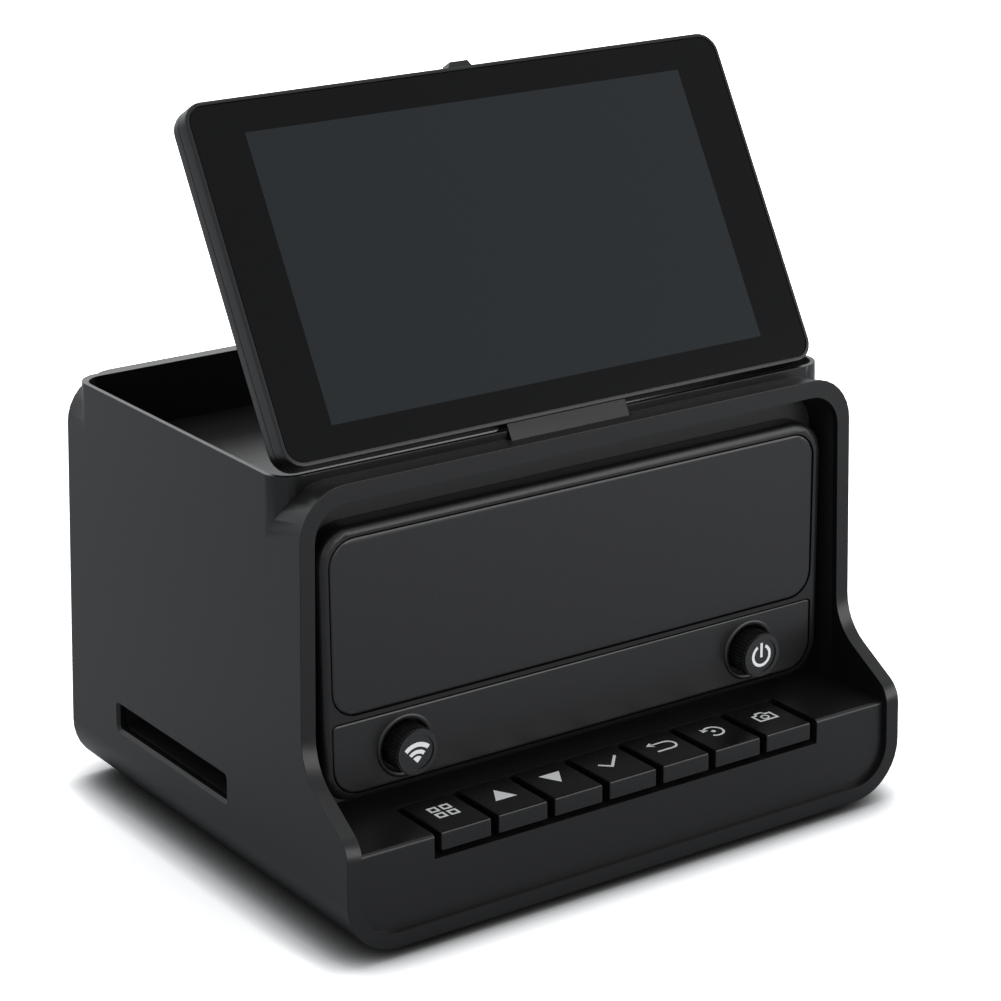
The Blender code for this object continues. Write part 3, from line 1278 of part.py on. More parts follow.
def hinge():
    """The fixed bracket on the well's floor and the pin through it."""
    reach = KNUCKLE_HALF - KNUCKLE_FIT
    pin = cylinder("hinge_pin", (-reach, HINGE_Y, HINGE_Z), (reach, HINGE_Y, HINGE_Z), PIN_RADIUS)
    foot, eye = WELL_FLOOR_TOP + FIT, HINGE_BRACKET_EYE
    front = WELL_FRONT + WELL_END_WALL + HINGE_BRACKET_GAP
    back = HINGE_Y + eye - SEAM
    corners = [(front, foot, 0), (front + HINGE_BRACKET_FOOT, foot, 0),
               (front + HINGE_BRACKET_FOOT, foot + HINGE_BRACKET_PLATE, 0),
               (back, foot + HINGE_BRACKET_PLATE, HINGE_BRACKET_PLATE), (back, HINGE_Z, 0),
               (front, HINGE_Z, 0)]
    half = HINGE_BRACKET_HALF
    bracket = extruded("hinge_bracket", corners, -half, half, SIDE)
    add(bracket, cylinder("bracket_eye", (-half, HINGE_Y, HINGE_Z), (half, HINGE_Y, HINGE_Z), eye))
    reach = HINGE_BRACKET_HALF + OVERRUN
    cut(bracket, cylinder("bracket_bore", (-reach, HINGE_Y, HINGE_Z), (reach, HINGE_Y, HINGE_Z),
                          PIN_RADIUS + FIT))
    return [piece(pin, "pin_steel"), piece(settle(bracket), "zinc_steel")]


def empty(name, parent, place, tilt=0):
    made = bpy.data.objects.new(name, None)
    COLLECTIONS["scanner"].objects.link(made)
    made.parent = parent
    made.location = place
    made.rotation_euler = (math.radians(tilt), 0, 0)
    return made


def main():
    origin = empty("body_frame", None, (0, FOOT_REACH - OVERALL_DEPTH / 2, FOOT_HEIGHT))
    build_body()
    build_front()
    build_works()
    hinge()
    fixed = list(bpy.data.objects)
    carried_by(origin, fixed)
    axis = empty("lid_axis", origin, (0, HINGE_Y, HINGE_Z), LID_TILT)
    build_lid()
    carried_by(axis, [obj for obj in bpy.data.objects if obj not in fixed])


clear_scene()
COLLECTIONS = {}
for group_name in ("scanner", "cutters"):
    COLLECTIONS[group_name] = bpy.data.collections.new(group_name)
    bpy.context.scene.collection.children.link(COLLECTIONS[group_name])
main()
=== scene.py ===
"""Finishes, printed symbols, stage and camera for a desktop film scanner with a tilting display."""
import json
import math

import bmesh
import bpy
from bpy.props import FloatProperty, FloatVectorProperty, PointerProperty
from mathutils import Matrix, Vector


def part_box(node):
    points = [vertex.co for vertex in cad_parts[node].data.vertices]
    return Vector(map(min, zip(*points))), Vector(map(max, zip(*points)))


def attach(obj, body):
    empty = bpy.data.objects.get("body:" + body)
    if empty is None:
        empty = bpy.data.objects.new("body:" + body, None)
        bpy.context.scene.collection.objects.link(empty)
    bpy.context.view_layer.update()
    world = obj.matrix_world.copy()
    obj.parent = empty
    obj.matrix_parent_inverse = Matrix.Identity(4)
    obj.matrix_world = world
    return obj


bl_info = {
    "name": "Film Negative Scanner",
    "version": (1, 0, 0),
    "blender": (4, 5, 0),
    "location": "3D View > Sidebar > Scanner",
    "description": "Finishes and printed symbols for a desktop film scanner with a tilting display",
    "category": "Object",
}

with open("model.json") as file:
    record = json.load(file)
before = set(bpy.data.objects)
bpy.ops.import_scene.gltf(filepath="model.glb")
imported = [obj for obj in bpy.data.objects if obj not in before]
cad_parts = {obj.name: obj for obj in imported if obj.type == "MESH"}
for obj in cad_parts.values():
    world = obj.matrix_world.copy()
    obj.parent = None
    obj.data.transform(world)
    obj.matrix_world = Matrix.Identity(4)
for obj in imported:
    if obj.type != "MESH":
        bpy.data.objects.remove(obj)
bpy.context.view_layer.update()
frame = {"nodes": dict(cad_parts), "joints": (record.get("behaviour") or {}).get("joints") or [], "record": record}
NODES = frame["nodes"]
SLOT_OF = {part["node"]: part["material_slot"] for part in frame["record"]["subparts"]}

MM = 0.001
WELD = 0.001 * MM  # points closer than this are one
CREASE = math.radians(32.0)  # edges sharper than this stay sharp
DISPLAY_TILT = math.radians(60.46)
HINGE = Vector(next(j["pos_m"] for j in frame["joints"] if j["name"] == "display_tilt"))
ARC_STEP = math.radians(8.0)  # between the points of a printed arc
MITRE_LIMIT = 0.3  # keeps a printed line's sharp corners from growing spikes
MOTTLE = 60  # grains from one broad mottle of colour to the next

# Paper: metres over which it goes plain white, reach and depth of the contact shadow painted into its colour,
# the share of its overexposure that gloss and glass show, and half its width in metres.
PAPER_FADE = (0.35, 0.9)
SHADOW_REACH = 15 * MM
SHADOW_DEPTH = 2.0
SHADOW_SAMPLES = 12
PAPER_MIRRORED = 0.13
PAPER_HALF = 6.0

# Softboxes: the setting with the power, width and height in metres, place in metres.
SOFTBOXES = {
    "softbox_overhead": ("lamp", (1.3, 1.3), (0.1, 0.3, 1.4)),
    "softbox_rear": ("rim", (2.2, 0.8), (0.25, 1.5, 0.75)),
    "softbox_left": ("key", (0.5, 0.5), (-1.0, -0.9, 0.6)),
    "softbox_front": ("fill", (1.5, 1.1), (0.8, -1.25, 0.32)),
}
WHITE = (1.0, 1.0, 1.0, 1.0)
SKY_TINT = (0.95, 0.975, 1.0, 1.0)

AIM = Vector((-32.068, -58.45, 119.138)) * MM  # the point that the camera looks at
SENSOR_WIDTH = 36.0
CLIP = (0.05, 50.0)


def linear(hex_colour):
    """An sRGB hex colour as three linear values."""
    channels = [int(hex_colour[i : i + 2], 16) / 255 for i in (1, 3, 5)]
    return [c / 12.92 if c <= 0.04045 else ((c + 0.055) / 1.055) ** 2.4 for c in channels]


def colour(label, text, hex_colour):
    """A colour property with its default."""
    return FloatVectorProperty(
        name=label, description=text, subtype="COLOR", size=3, min=0, max=1, default=linear(hex_colour)
    )


def length(label, text, millimetres):
    """A length property with its default."""
    style = {"subtype": "DISTANCE", "unit": "LENGTH", "min": 0}
    return FloatProperty(name=label, description=text, default=millimetres * MM, **style)


def number(label, text, value):
    """A plain number property with its default."""
    return FloatProperty(name=label, description=text, default=value)


class ScannerColours(bpy.types.PropertyGroup):
    """Colours of the scanner's finishes"""

    housing: colour("Housing", "Textured ABS of the housing, the fascia and the lid", "#131314")
    panel: colour("Front panel", "Satin ABS of the front panel and the control strip", "#181819")
    key: colour("Keys", "Satin ABS of the seven keys", "#0D0D0E")
    button: colour("Push buttons", "Knurled ABS of the two round buttons", "#141415")
    # Partly painted shade: darker than the housing so that the inside of the film slot reads dark.
    inside: colour("Inner parts", "ABS of the base, the film guides and the brackets", "#101011")
    rubber: colour("Feet", "Rubber of the feet", "#101010")
    zinc: colour("Zinc plating", "Screws and the hinge bracket", "#8D9093")
    pin: colour("Hinge pin", "Ground steel of the hinge pin", "#A6A8AA")
    tin: colour("Sockets", "Tinned steel of the socket shells", "#9A9C9E")
    laminate: colour("Circuit boards", "Solder resist on the circuit boards", "#17452C")
    opal: colour("Lamp diffuser", "Opal acrylic of the lamp's diffuser", "#E9EAE6")
    anodised: colour("Lens barrel", "Black anodised aluminium of the lens barrel", "#1A1B1C")
    lens: colour("Lens", "Coating on the front lens", "#1B2430")
    border: colour("Display border", "Ink behind the border of the display's glass", "#040405")
    picture: colour("Display area", "The display's picture area, switched off", "#25292B")
    ink: colour("Symbols", "Ink of the printed symbols", "#F4F5F5")
    floor: colour("Floor", "Pale paper that the scanner stands on", "#B4B7BB")


class ScannerSizes(bpy.types.PropertyGroup):
    """Sizes of the scanner's printing and surface texture"""

    ink_thickness: length("Ink thickness", "Thickness of the printed symbols", 0.04)
    symbol_setback: length("Symbol setback", "From a key's front to the middle of its symbol", 12.0)
    symbol_stroke: length("Symbol stroke", "Width of a symbol's lines", 0.75)
    collar_radius: length("Collar radius", "Inner radius of the ring round a push button", 8.1)
    collar_width: length("Collar width", "Width of the ring round a push button", 1.7)
    collar_rise: length("Collar height", "Height of the ring round a push button", 0.5)
    button_recess: length("Button recess", "Depth of the disc in a push button's face", 0.4)
    picture_width: length("Picture width", "Width of the display's picture area", 154.2)
    picture_height: length("Picture height", "Height of the display's picture area", 86.9)
    picture_base: length("Picture base", "From the hinge axis up to the picture area", 15.5)
    # Real mould grains are 0.1 to 0.2 mm: these are drawn coarser, as fine as a render can show.
    mould_grain: length("Mould grain", "Spacing of the texture on the housing", 0.45)
    satin_grain: length("Satin grain", "Spacing of the texture on panels and keys", 0.3)


class StageSettings(bpy.types.PropertyGroup):
    """Camera and light of the photograph"""

    lens: number("Focal length", "On a 36 mm sensor, in mm", 109.99)
    azimuth: number("Azimuth", "Round to the left of the front, in degrees", 34.556)
    elevation: number("Elevation", "Above the horizon, in degrees", 18.94)
    roll: number("Roll", "Turn about the line of sight, in degrees", -0.456)
    distance: length("Distance", "From the camera to its target", 872.948)
    sky: number("Sky", "Strength of the light from all round", 0.45)
    lamp: number("Softbox", "Power of the softbox overhead, in watts", 7.0)
    fill: number("Fill light", "Power of the softbox in front, in watts", 14.0)
    rim: number("Rim light", "Power of the softbox behind, in watts", 4.0)
    key: number("Key light", "Power of the softbox on the front left, in watts", 1.0)
    high_key: number("High key", "How much the paper is overexposed", 2.2)


def add(tree, kind, inputs=None, **settings):
    """Adds a node with its settings. Each input is a value, or an output to link."""
    made = tree.nodes.new(kind)
    for name, value in settings.items():
        setattr(made, name, value)
    for key, value in (inputs or {}).items():
        if isinstance(value, bpy.types.NodeSocket):
            tree.links.new(value, made.inputs[key])
        else:
            made.inputs[key].default_value = value
    return made


def surface(name, base, roughness, sockets):
    """A material with a Principled shader, as (material, tree, shader)."""
    made = bpy.data.materials.new(name)
    made.use_nodes = True
    tree = made.node_tree
    tree.nodes.clear()
    settings = {"Base Color": (*base, 1.0), "Roughness": roughness}
    settings.update(sockets)
    shader = add(tree, "ShaderNodeBsdfPrincipled", settings)
    add(tree, "ShaderNodeOutputMaterial", {"Surface": shader.outputs[0]})
    return made, tree, shader


def tinted(base, share):
    """A colour made lighter or darker by a share of itself."""
    return (*[min(1.0, channel * share) for channel in base], 1.0)


def grained(name, base, roughness, grain, relief, sockets, spread=0.05, tint=0.06):
    """A material whose colour, gloss and relief follow a grain of that spacing."""
    made, tree, shader = surface(name, base, roughness, sockets)
    place = add(tree, "ShaderNodeTexCoord").outputs["Object"]
    fine = add(tree, "ShaderNodeTexNoise", {"Vector": place, "Scale": 1 / grain, "Detail": 2.0})
    wide = {"Vector": place, "Scale": 1 / (MOTTLE * grain), "Detail": 3.0}
    broad = add(tree, "ShaderNodeTexNoise", wide)
    shades = {0: broad.outputs["Fac"], 6: tinted(base, 1 - tint), 7: tinted(base, 1 + tint)}
    mixed = add(tree, "ShaderNodeMix", shades, data_type="RGBA")
    limits = {"From Min": 0.3, "From Max": 0.7}
    limits.update({"To Min": roughness - spread, "To Max": roughness + spread})
    gloss = add(tree, "ShaderNodeMapRange", {"Value": fine.outputs["Fac"], **limits})
    bump = add(tree, "ShaderNodeBump", {"Height": fine.outputs["Fac"], "Distance": relief})
    tree.links.new(mixed.outputs[2], shader.inputs["Base Color"])
    tree.links.new(gloss.outputs[0], shader.inputs["Roughness"])
    tree.links.new(bump.outputs[0], shader.inputs["Normal"])
    return made


def textured_abs(colours, sizes):
    """ABS from a spark-eroded mould: an even, fine matt grain that spreads each highlight."""
    sockets = {"IOR": 1.45, "Specular IOR Level": 0.36}
    return grained("textured_abs", colours.housing, 0.33, sizes.mould_grain, 0.012 * MM, sockets)


def satin_abs(colours, sizes):
    """ABS from a vapour-blasted mould: a silky gloss, smoother than the housing's."""
    sockets = {"IOR": 1.45, "Specular IOR Level": 0.45}
    return grained("satin_abs", colours.panel, 0.32, sizes.satin_grain, 0.008 * MM, sockets)


def key_abs(colours, sizes):
    """ABS keys from a vapour-blasted mould: darker, and a little glossier all over; the extra gloss where fingers
    rest is not drawn.
    """
    sockets = {"IOR": 1.5, "Specular IOR Level": 0.34}
    return grained("key_abs", colours.key, 0.3, sizes.satin_grain, 0.006 * MM, sockets)


def button_abs(colours, sizes):
    """Moulded ABS buttons: satin faces whose edges hold a thin highlight."""
    return grained("button_abs", colours.button, 0.3, sizes.satin_grain, 0.006 * MM, {"IOR": 1.5})


def inner_abs(colours, sizes):
    """ABS from an unpolished mould: flat and dark, as parts that nobody sees are left, and darker than the housing
    partly as painted shade inside the film slot.
    """
    sockets = {"IOR": 1.5, "Specular IOR Level": 0.25}
    return grained("inner_abs", colours.inside, 0.6, sizes.mould_grain, 0.02 * MM, sockets)


def foot_rubber(colours, sizes):
    """Compression-moulded rubber: deep matt black with a dusty grain."""
    grain, sockets = sizes.mould_grain, {"IOR": 1.52}
    return grained("foot_rubber", colours.rubber, 0.85, grain, 0.03 * MM, sockets, tint=0.15)


def zinc_steel(colours, sizes):
    """Pressed steel with zinc plating: a soft grey sheen, mottled by the plating bath."""
    grain, sockets = 2 * sizes.mould_grain, {"Metallic": 1.0}
    return grained("zinc_steel", colours.zinc, 0.38, grain, 0.004 * MM, sockets, spread=0.1, tint=0.12)


def ground_steel(colours, sizes):
    """Centreless-ground steel: bright and even, with a trace of the wheel's grain."""
    return grained("ground_steel", colours.pin, 0.25, sizes.satin_grain, 0.002 * MM, {"Metallic": 1.0})


def tinned_steel(colours, sizes):
    """Drawn steel shells with a tin finish: pale, and a little cloudy."""
    grain, sockets = sizes.satin_grain, {"Metallic": 1.0}
    return grained("tinned_steel", colours.tin, 0.32, grain, 0.003 * MM, sockets, spread=0.08)


def board_laminate(colours, sizes):
    """Glass-fibre laminate under solder resist: glossy green, uneven where the fibres lie."""
    grain, sockets = 2 * sizes.satin_grain, {"IOR": 1.5}
    return grained("board_laminate", colours.laminate, 0.35, grain, 0.006 * MM, sockets, tint=0.12)


def opal_acrylic(colours, sizes):
    """Extruded opal acrylic: milky and even, lit from below in use."""
    grain, sockets = sizes.satin_grain, {"IOR": 1.49, "Subsurface Weight": 0.3}
    return grained("opal_acrylic", colours.opal, 0.35, grain, 0.002 * MM, sockets, tint=0.02)


def black_anodising(colours, sizes):
    """Turned aluminium, anodised black: a dark metal with a satin sheen."""
    grain, sockets = sizes.satin_grain, {"Metallic": 0.9}
    return grained("black_anodising", colours.anodised, 0.4, grain, 0.003 * MM, sockets)


def coated_glass(colours, sizes):
    """Polished glass with a bluish coating: near black, with a hard clear reflection."""
    grain, sockets = sizes.satin_grain, {"IOR": 1.52, "Coat Weight": 1.0}
    return grained("coated_glass", colours.lens, 0.05, grain, 0.0001 * MM, sockets, spread=0.01)


def printed_glass(colours, sizes):
    """Cover glass with an anti-glare finish and a black printed border: a soft, weak reflection."""
    sockets = {"IOR": 1.5, "Specular IOR Level": 0.12}
    made, tree, shader = surface("printed_glass", colours.border, 0.12, sockets)
    place = add(tree, "ShaderNodeTexCoord").outputs["Object"]
    up = Vector((0.0, math.cos(DISPLAY_TILT), math.sin(DISPLAY_TILT)))
    middle = sizes.picture_base + sizes.picture_height / 2
    pair = {0: place, 1: up}
    level = add(tree, "ShaderNodeVectorMath", pair, operation="DOT_PRODUCT").outputs["Value"]
    side = add(tree, "ShaderNodeSeparateXYZ", {0: place}).outputs["X"]
    height = up.dot(HINGE) + middle
    spans = ((side, 0.0, sizes.picture_width / 2), (level, height, sizes.picture_height / 2))
    masks = [
        add(tree, "ShaderNodeMath", {0: value, 1: centre, 2: half}, operation="COMPARE").outputs[0]
        for value, centre, half in spans
    ]
    inside = add(tree, "ShaderNodeMath", {0: masks[0], 1: masks[1]}, operation="MULTIPLY").outputs[0]
    shades = {0: inside, 6: (*colours.border, 1.0), 7: (*colours.picture, 1.0)}
    mixed = add(tree, "ShaderNodeMix", shades, data_type="RGBA")
    tree.links.new(mixed.outputs[2], shader.inputs["Base Color"])
    return made


def lcd_module(colours, sizes):
    """The display module: a smooth dark polariser in a thin metal tray."""
    return grained("lcd_module", colours.picture, 0.3, sizes.satin_grain, 0.001 * MM, {"IOR": 1.5})


def pad_ink(colours, sizes):
    """Pad-printed white ink: matt and slightly uneven over the plastic's grain."""
    grain, sockets = sizes.satin_grain, {"IOR": 1.5}
    return grained("pad_ink", colours.ink, 0.55, grain, 0.004 * MM, sockets, tint=0.03)


def soft_shading():
    """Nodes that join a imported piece's facets and shade it smooth, with its sharp edges kept."""
    tree = bpy.data.node_groups.get("soft_shading")
    if tree:
        return tree
    tree = bpy.data.node_groups.new("soft_shading", "GeometryNodeTree")
    tree.interface.new_socket("Geometry", in_out="INPUT", socket_type="NodeSocketGeometry")
    tree.interface.new_socket("Geometry", in_out="OUTPUT", socket_type="NodeSocketGeometry")
    given = add(tree, "NodeGroupInput").outputs[0]
    joined = add(tree, "GeometryNodeMergeByDistance", {"Geometry": given, "Distance": WELD}).outputs[0]
    turn = add(tree, "GeometryNodeInputMeshEdgeAngle").outputs["Unsigned Angle"]
    bounds = {"A": turn, "B": CREASE}
    crease = add(tree, "FunctionNodeCompare", bounds, operation="GREATER_THAN").outputs[0]
    faces = {"Geometry": joined, "Shade Smooth": True}
    smooth = add(tree, "GeometryNodeSetShadeSmooth", faces, domain="FACE").outputs[0]
    edges = {"Geometry": smooth, "Selection": crease, "Shade Smooth": False}
    sharp = add(tree, "GeometryNodeSetShadeSmooth", edges, domain="EDGE").outputs[0]
    add(tree, "NodeGroupOutput", {0: sharp})
    return tree


def dress(slot, finish):
    """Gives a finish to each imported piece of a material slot, and smooth shading."""
    for name, used in SLOT_OF.items():
        if used != slot:
            continue
        node = NODES[name]
        for place in node.material_slots:
            place.material = finish
        node.modifiers.new("soft_shading", "NODES").node_group = soft_shading()
        weighted = node.modifiers.new("weighted_normals", "WEIGHTED_NORMAL")
        weighted.keep_sharp = True


def settings(context):
    """The scene's colours and sizes."""
    return context.scene.scanner_colours, context.scene.scanner_sizes


def arc(centre, radius, start, end):
    """Points along an arc, in degrees counter-clockwise from the right."""
    first, last = math.radians(start), math.radians(end)
    steps = max(2, round(abs(last - first) / ARC_STEP))
    turns = [first + (last - first) * i / steps for i in range(steps + 1)]
    return [(centre[0] + radius * math.cos(t), centre[1] + radius * math.sin(t)) for t in turns]


def ring(centre, radius):
    """A whole circle of points."""
    return arc(centre, radius, 0, 360)[:-1]


def sector(centre, inner, outer, start, end):
    """The outline of a band between two radii."""
    return arc(centre, outer, start, end) + arc(centre, inner, end, start)


def stroke(points, width):
    """The outline of a line of that width through the points, with mitred corners."""
    sides = [[], []]
    for i, point in enumerate(points):
        here = Vector(point)
        before = (here - Vector(points[i - 1])).normalized() if i else None
        after = (Vector(points[i + 1]) - here).normalized() if i + 1 < len(points) else None
        before, after = before or after, after or before
        along = (before + after).normalized()
        reach = width / 2 / max(MITRE_LIMIT, along.dot(after))
        across = Vector((-along.y, along.x)) * reach
        sides[0].append(tuple(here + across))
        sides[1].append(tuple(here - across))
    return sides[0] + sides[1][::-1]


def square(centre, half):
    """A square outline."""
    corners = ((-1, -1), (1, -1), (1, 1), (-1, 1))
    return [(centre[0] + x * half, centre[1] + y * half) for x, y in corners]


def menu_symbol(line):
    """Four small squares."""
    half, pitch = 1.6 * MM, 2.1 * MM
    middles = [(x * pitch, y * pitch) for x in (-1, 1) for y in (-1, 1)]
    return [square(middle, size) for middle in middles for size in (half, half - line)]


def up_symbol(line):
    """A filled triangle that points away from the user."""
    half, rise = 3.7 * MM, 3.35 * MM
    return [[(-half, -rise), (half, -rise), (0.0, rise)]]


def down_symbol(line):
    """A filled triangle that points towards the user."""
    return [[(x, -y) for x, y in reversed(up_symbol(line)[0])]]


def confirm_symbol(line):
    """A tick."""
    width, height = 8.4 * MM, 6.0 * MM
    foot = (-0.12 * width, -height / 2)
    return [stroke([(-width / 2, -0.02 * height), foot, (width / 2, height / 2)], 1.2 * line)]


def back_symbol(line):
    """An arrow that turns back on itself."""
    radius, tail, tip = 2.5 * MM, -3.4 * MM, -4.1 * MM
    turn = (2.3 * MM, 0.0)
    barb, spread = tip + 2.2 * MM, 1.5 * MM
    path = [(tail, -radius), *arc(turn, radius, -90, 90), (tip + 1.8 * MM, radius)]
    head = [(tip, radius), (barb, radius - spread), (barb, radius + spread)]
    return [stroke(path, line), head]


def rotate_symbol(line):
    """A circular arrow round a dot."""
    radius = 3.1 * MM
    bend = arc((0.0, 0.0), radius, -130, 140)
    end = Vector(bend[-1])
    heading = Vector((-end.y, end.x)).normalized()
    side = Vector((-heading.y, heading.x))
    tip, barb, heel = heading * 1.6 * MM, side * 1.4 * MM, heading * 0.3 * MM
    head = [end + tip, end - barb - heel, end + barb - heel]
    return [stroke(bend, line), [tuple(point) for point in head], ring((0.0, 0.0), 0.75 * MM)]


def camera_symbol(line):
    """A camera's outline with its lens."""
    wide, low, high, hump = 3.7 * MM, -2.9 * MM, 1.9 * MM, 3.2 * MM
    body = [(-wide, low), (wide, low), (wide, high), (0.45 * wide, high), (0.3 * wide, hump)]
    body += [(-0.4 * wide, hump), (-0.55 * wide, high), (-wide, high)]
    inner = [(-wide + line, low + line), (wide - line, low + line), (wide - line, high - line)]
    inner += [(0.37 * wide, high - line), (0.2 * wide, hump - line), (-0.32 * wide, hump - line)]
    inner += [(-0.46 * wide, high - line), (-wide + line, high - line)]
    lens, rim = (0.0, -0.5 * MM), 1.5 * MM
    return [body, inner, ring(lens, rim), ring(lens, rim - 0.8 * line)]


def wireless_symbol(line):
    """Two waves over a wedge."""
    source, wedge = (0.0, -3.4 * MM), 2.1 * MM
    waves = ((2.85, 4.05), (4.95, 6.35))
    right, left = 47, 133
    outlines = [sector(source, low * MM, high * MM, right, left) for low, high in waves]
    return outlines + [[source, *arc(source, wedge, right, left)]]


def power_symbol(line):
    """A ring that a bar parts at the top."""
    half, foot, tip = 0.45 * MM, -0.6 * MM, 4.1 * MM
    gap = 28
    outlines = [sector((0.0, 0.0), 2.75 * MM, 3.7 * MM, 90 + gap, 450 - gap)]
    return outlines + [[(-half, foot), (half, foot), (half, tip), (-half, tip)]]


def print_symbol(name, outlines, thickness, place, body, finish):
    """Prints a symbol: flat outlines of ink with that thickness, on a face of one body."""
    drawing = bpy.data.curves.new(name, "CURVE")
    drawing.dimensions = "2D"
    drawing.fill_mode = "BOTH"
    drawing.extrude = thickness / 2
    for outline in outlines:
        spline = drawing.splines.new("POLY")
        spline.points.add(len(outline) - 1)
        for point, (x, y) in zip(spline.points, outline):
            point.co = (x, y, 0.0, 1.0)
        spline.use_cyclic_u = True
    drawn = bpy.data.objects.new(name, drawing)
    bpy.context.scene.collection.objects.link(drawn)
    view = bpy.context.evaluated_depsgraph_get()
    mesh = bpy.data.meshes.new_from_object(drawn.evaluated_get(view))
    bpy.data.objects.remove(drawn)
    work = bmesh.new()
    work.from_mesh(mesh)
    bmesh.ops.remove_doubles(work, verts=work.verts, dist=WELD)
    bmesh.ops.recalc_face_normals(work, faces=work.faces)
    bmesh.ops.transform(work, matrix=place, verts=work.verts)
    work.to_mesh(mesh)
    work.free()
    mesh.name = name
    printed = bpy.data.objects.new(name, mesh)
    bpy.context.scene.collection.objects.link(printed)
    mesh.materials.append(finish)
    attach(printed, body)
    return printed


def ink():
    """The printing ink, made once."""
    return bpy.data.materials.get("pad_ink") or pad_ink(*settings(bpy.context))


class SCANNER_OT_dress_housing(bpy.types.Operator):
    """Finishes the housing, the fascia, the lid's shells, the base and the feet"""

    bl_idname = "scanner.dress_housing"
    bl_label = "Housing and base"

    def execute(self, context):
        dress("housing_plastic", textured_abs(*settings(context)))
        dress("inner_plastic", inner_abs(*settings(context)))
        dress("foot_rubber", foot_rubber(*settings(context)))
        return {"FINISHED"}


class SCANNER_OT_dress_panels(bpy.types.Operator):
    """Finishes the front panel and the control strip"""

    bl_idname = "scanner.dress_panels"
    bl_label = "Front panels"

    def execute(self, context):
        dress("panel_plastic", satin_abs(*settings(context)))
        return {"FINISHED"}


class SCANNER_OT_dress_keys(bpy.types.Operator):
    """Finishes the seven keys and prints their symbols"""

    bl_idname = "scanner.dress_keys"
    bl_label = "Keys"

    def execute(self, context):
        colours, sizes = settings(context)
        dress("key_plastic", key_abs(colours, sizes))
        symbols = {
            "menu": menu_symbol,
            "up": up_symbol,
            "down": down_symbol,
            "confirm": confirm_symbol,
            "back": back_symbol,
            "rotate": rotate_symbol,
            "camera": camera_symbol,
        }
        for key, symbol in symbols.items():
            low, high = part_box(f"{key}_key")
            top = high.z + sizes.ink_thickness / 2
            middle = Vector(((low.x + high.x) / 2, low.y + sizes.symbol_setback, top))
            print_symbol(
                f"{key}_symbol",
                symbol(sizes.symbol_stroke),
                sizes.ink_thickness,
                Matrix.Translation(middle),
                f"{key}_press",
                ink(),
            )
        return {"FINISHED"}


def mould_collar(name, centre, inner, width, rise, finish):
    """A raised ring with a round crest, moulded on the control strip about a button's hole."""
    crest_steps, ring_steps = 8, 72
    work = bmesh.new()
    crest = [math.pi * i / crest_steps for i in range(crest_steps + 1)]
    section = [(inner, 2 * rise)]
    section += [(inner + width / 2 * (1 - math.cos(turn)), -rise * math.sin(turn)) for turn in crest]
    section.append((inner + width, rise))
    corners = [work.verts.new(centre + Vector((across, back, 0.0))) for across, back in section]
    for near, far in zip(corners, corners[1:]):
        work.edges.new((near, far))
    outline = work.verts[:] + work.edges[:]
    axis = (0.0, 1.0, 0.0)
    bmesh.ops.spin(work, geom=outline, cent=centre, axis=axis, angle=math.tau, steps=ring_steps)
    bmesh.ops.remove_doubles(work, verts=work.verts, dist=WELD)
    bmesh.ops.recalc_face_normals(work, faces=work.faces)
    for face in work.faces:
        face.smooth = True
    mesh = bpy.data.meshes.new(name)
    work.to_mesh(mesh)
    work.free()
    mesh.materials.append(finish)
    collar = bpy.data.objects.new(name, mesh)
    bpy.context.scene.collection.objects.link(collar)
    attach(collar, "body")
    return collar


class SCANNER_OT_dress_buttons(bpy.types.Operator):
    """Finishes the two push buttons, prints their symbols and adds the collars round them"""

    bl_idname = "scanner.dress_buttons"
    bl_label = "Push buttons"

    def execute(self, context):
        colours, sizes = settings(context)
        dress("button_plastic", button_abs(colours, sizes))
        satin = bpy.data.materials["satin_abs"]
        upright = Matrix.Rotation(math.radians(90), 4, "X")
        for button, symbol in (("wireless", wireless_symbol), ("power", power_symbol)):
            low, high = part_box(f"{button}_button")
            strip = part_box("control_strip")[0].y
            centre = Vector(((low.x + high.x) / 2, strip, (low.z + high.z) / 2))
            band = (sizes.collar_radius, sizes.collar_width, sizes.collar_rise)
            mould_collar(f"{button}_collar", centre, *band, satin)
            face = low.y + sizes.button_recess - sizes.ink_thickness / 2
            middle = Vector(((low.x + high.x) / 2, face, (low.z + high.z) / 2))
            print_symbol(
                f"{button}_symbol",
                symbol(sizes.symbol_stroke),
                sizes.ink_thickness,
                Matrix.Translation(middle) @ upright,
                f"{button}_push",
                ink(),
            )
        return {"FINISHED"}


class SCANNER_OT_dress_display(bpy.types.Operator):
    """Finishes the display's glass, its module and the hinge"""

    bl_idname = "scanner.dress_display"
    bl_label = "Display and hinge"

    def execute(self, context):
        dress("cover_glass", printed_glass(*settings(context)))
        dress("display_panel", lcd_module(*settings(context)))
        dress("pin_steel", ground_steel(*settings(context)))
        dress("plated_steel", zinc_steel(*settings(context)))
        return {"FINISHED"}


class SCANNER_OT_dress_works(bpy.types.Operator):
    """Finishes the circuit boards, the lamp, the camera and the sockets"""

    bl_idname = "scanner.dress_works"
    bl_label = "Boards, lamp and camera"

    def execute(self, context):
        dress("board_laminate", board_laminate(*settings(context)))
        dress("opal_plastic", opal_acrylic(*settings(context)))
        dress("anodised_aluminium", black_anodising(*settings(context)))
        dress("lens_glass", coated_glass(*settings(context)))
        dress("socket_steel", tinned_steel(*settings(context)))
        return {"FINISHED"}


def seen_rays(tree, mirrored):
    """1 for what the eye sees straight, and a share of it for what gloss and glass show."""
    path = add(tree, "ShaderNodeLightPath").outputs
    shiny = {0: path["Is Glossy Ray"], 1: path["Is Transmission Ray"]}
    either = add(tree, "ShaderNodeMath", shiny, operation="MAXIMUM").outputs[0]
    parts = {0: either, 1: mirrored, 2: path["Is Camera Ray"]}
    return add(tree, "ShaderNodeMath", parts, operation="MULTIPLY_ADD").outputs[0]


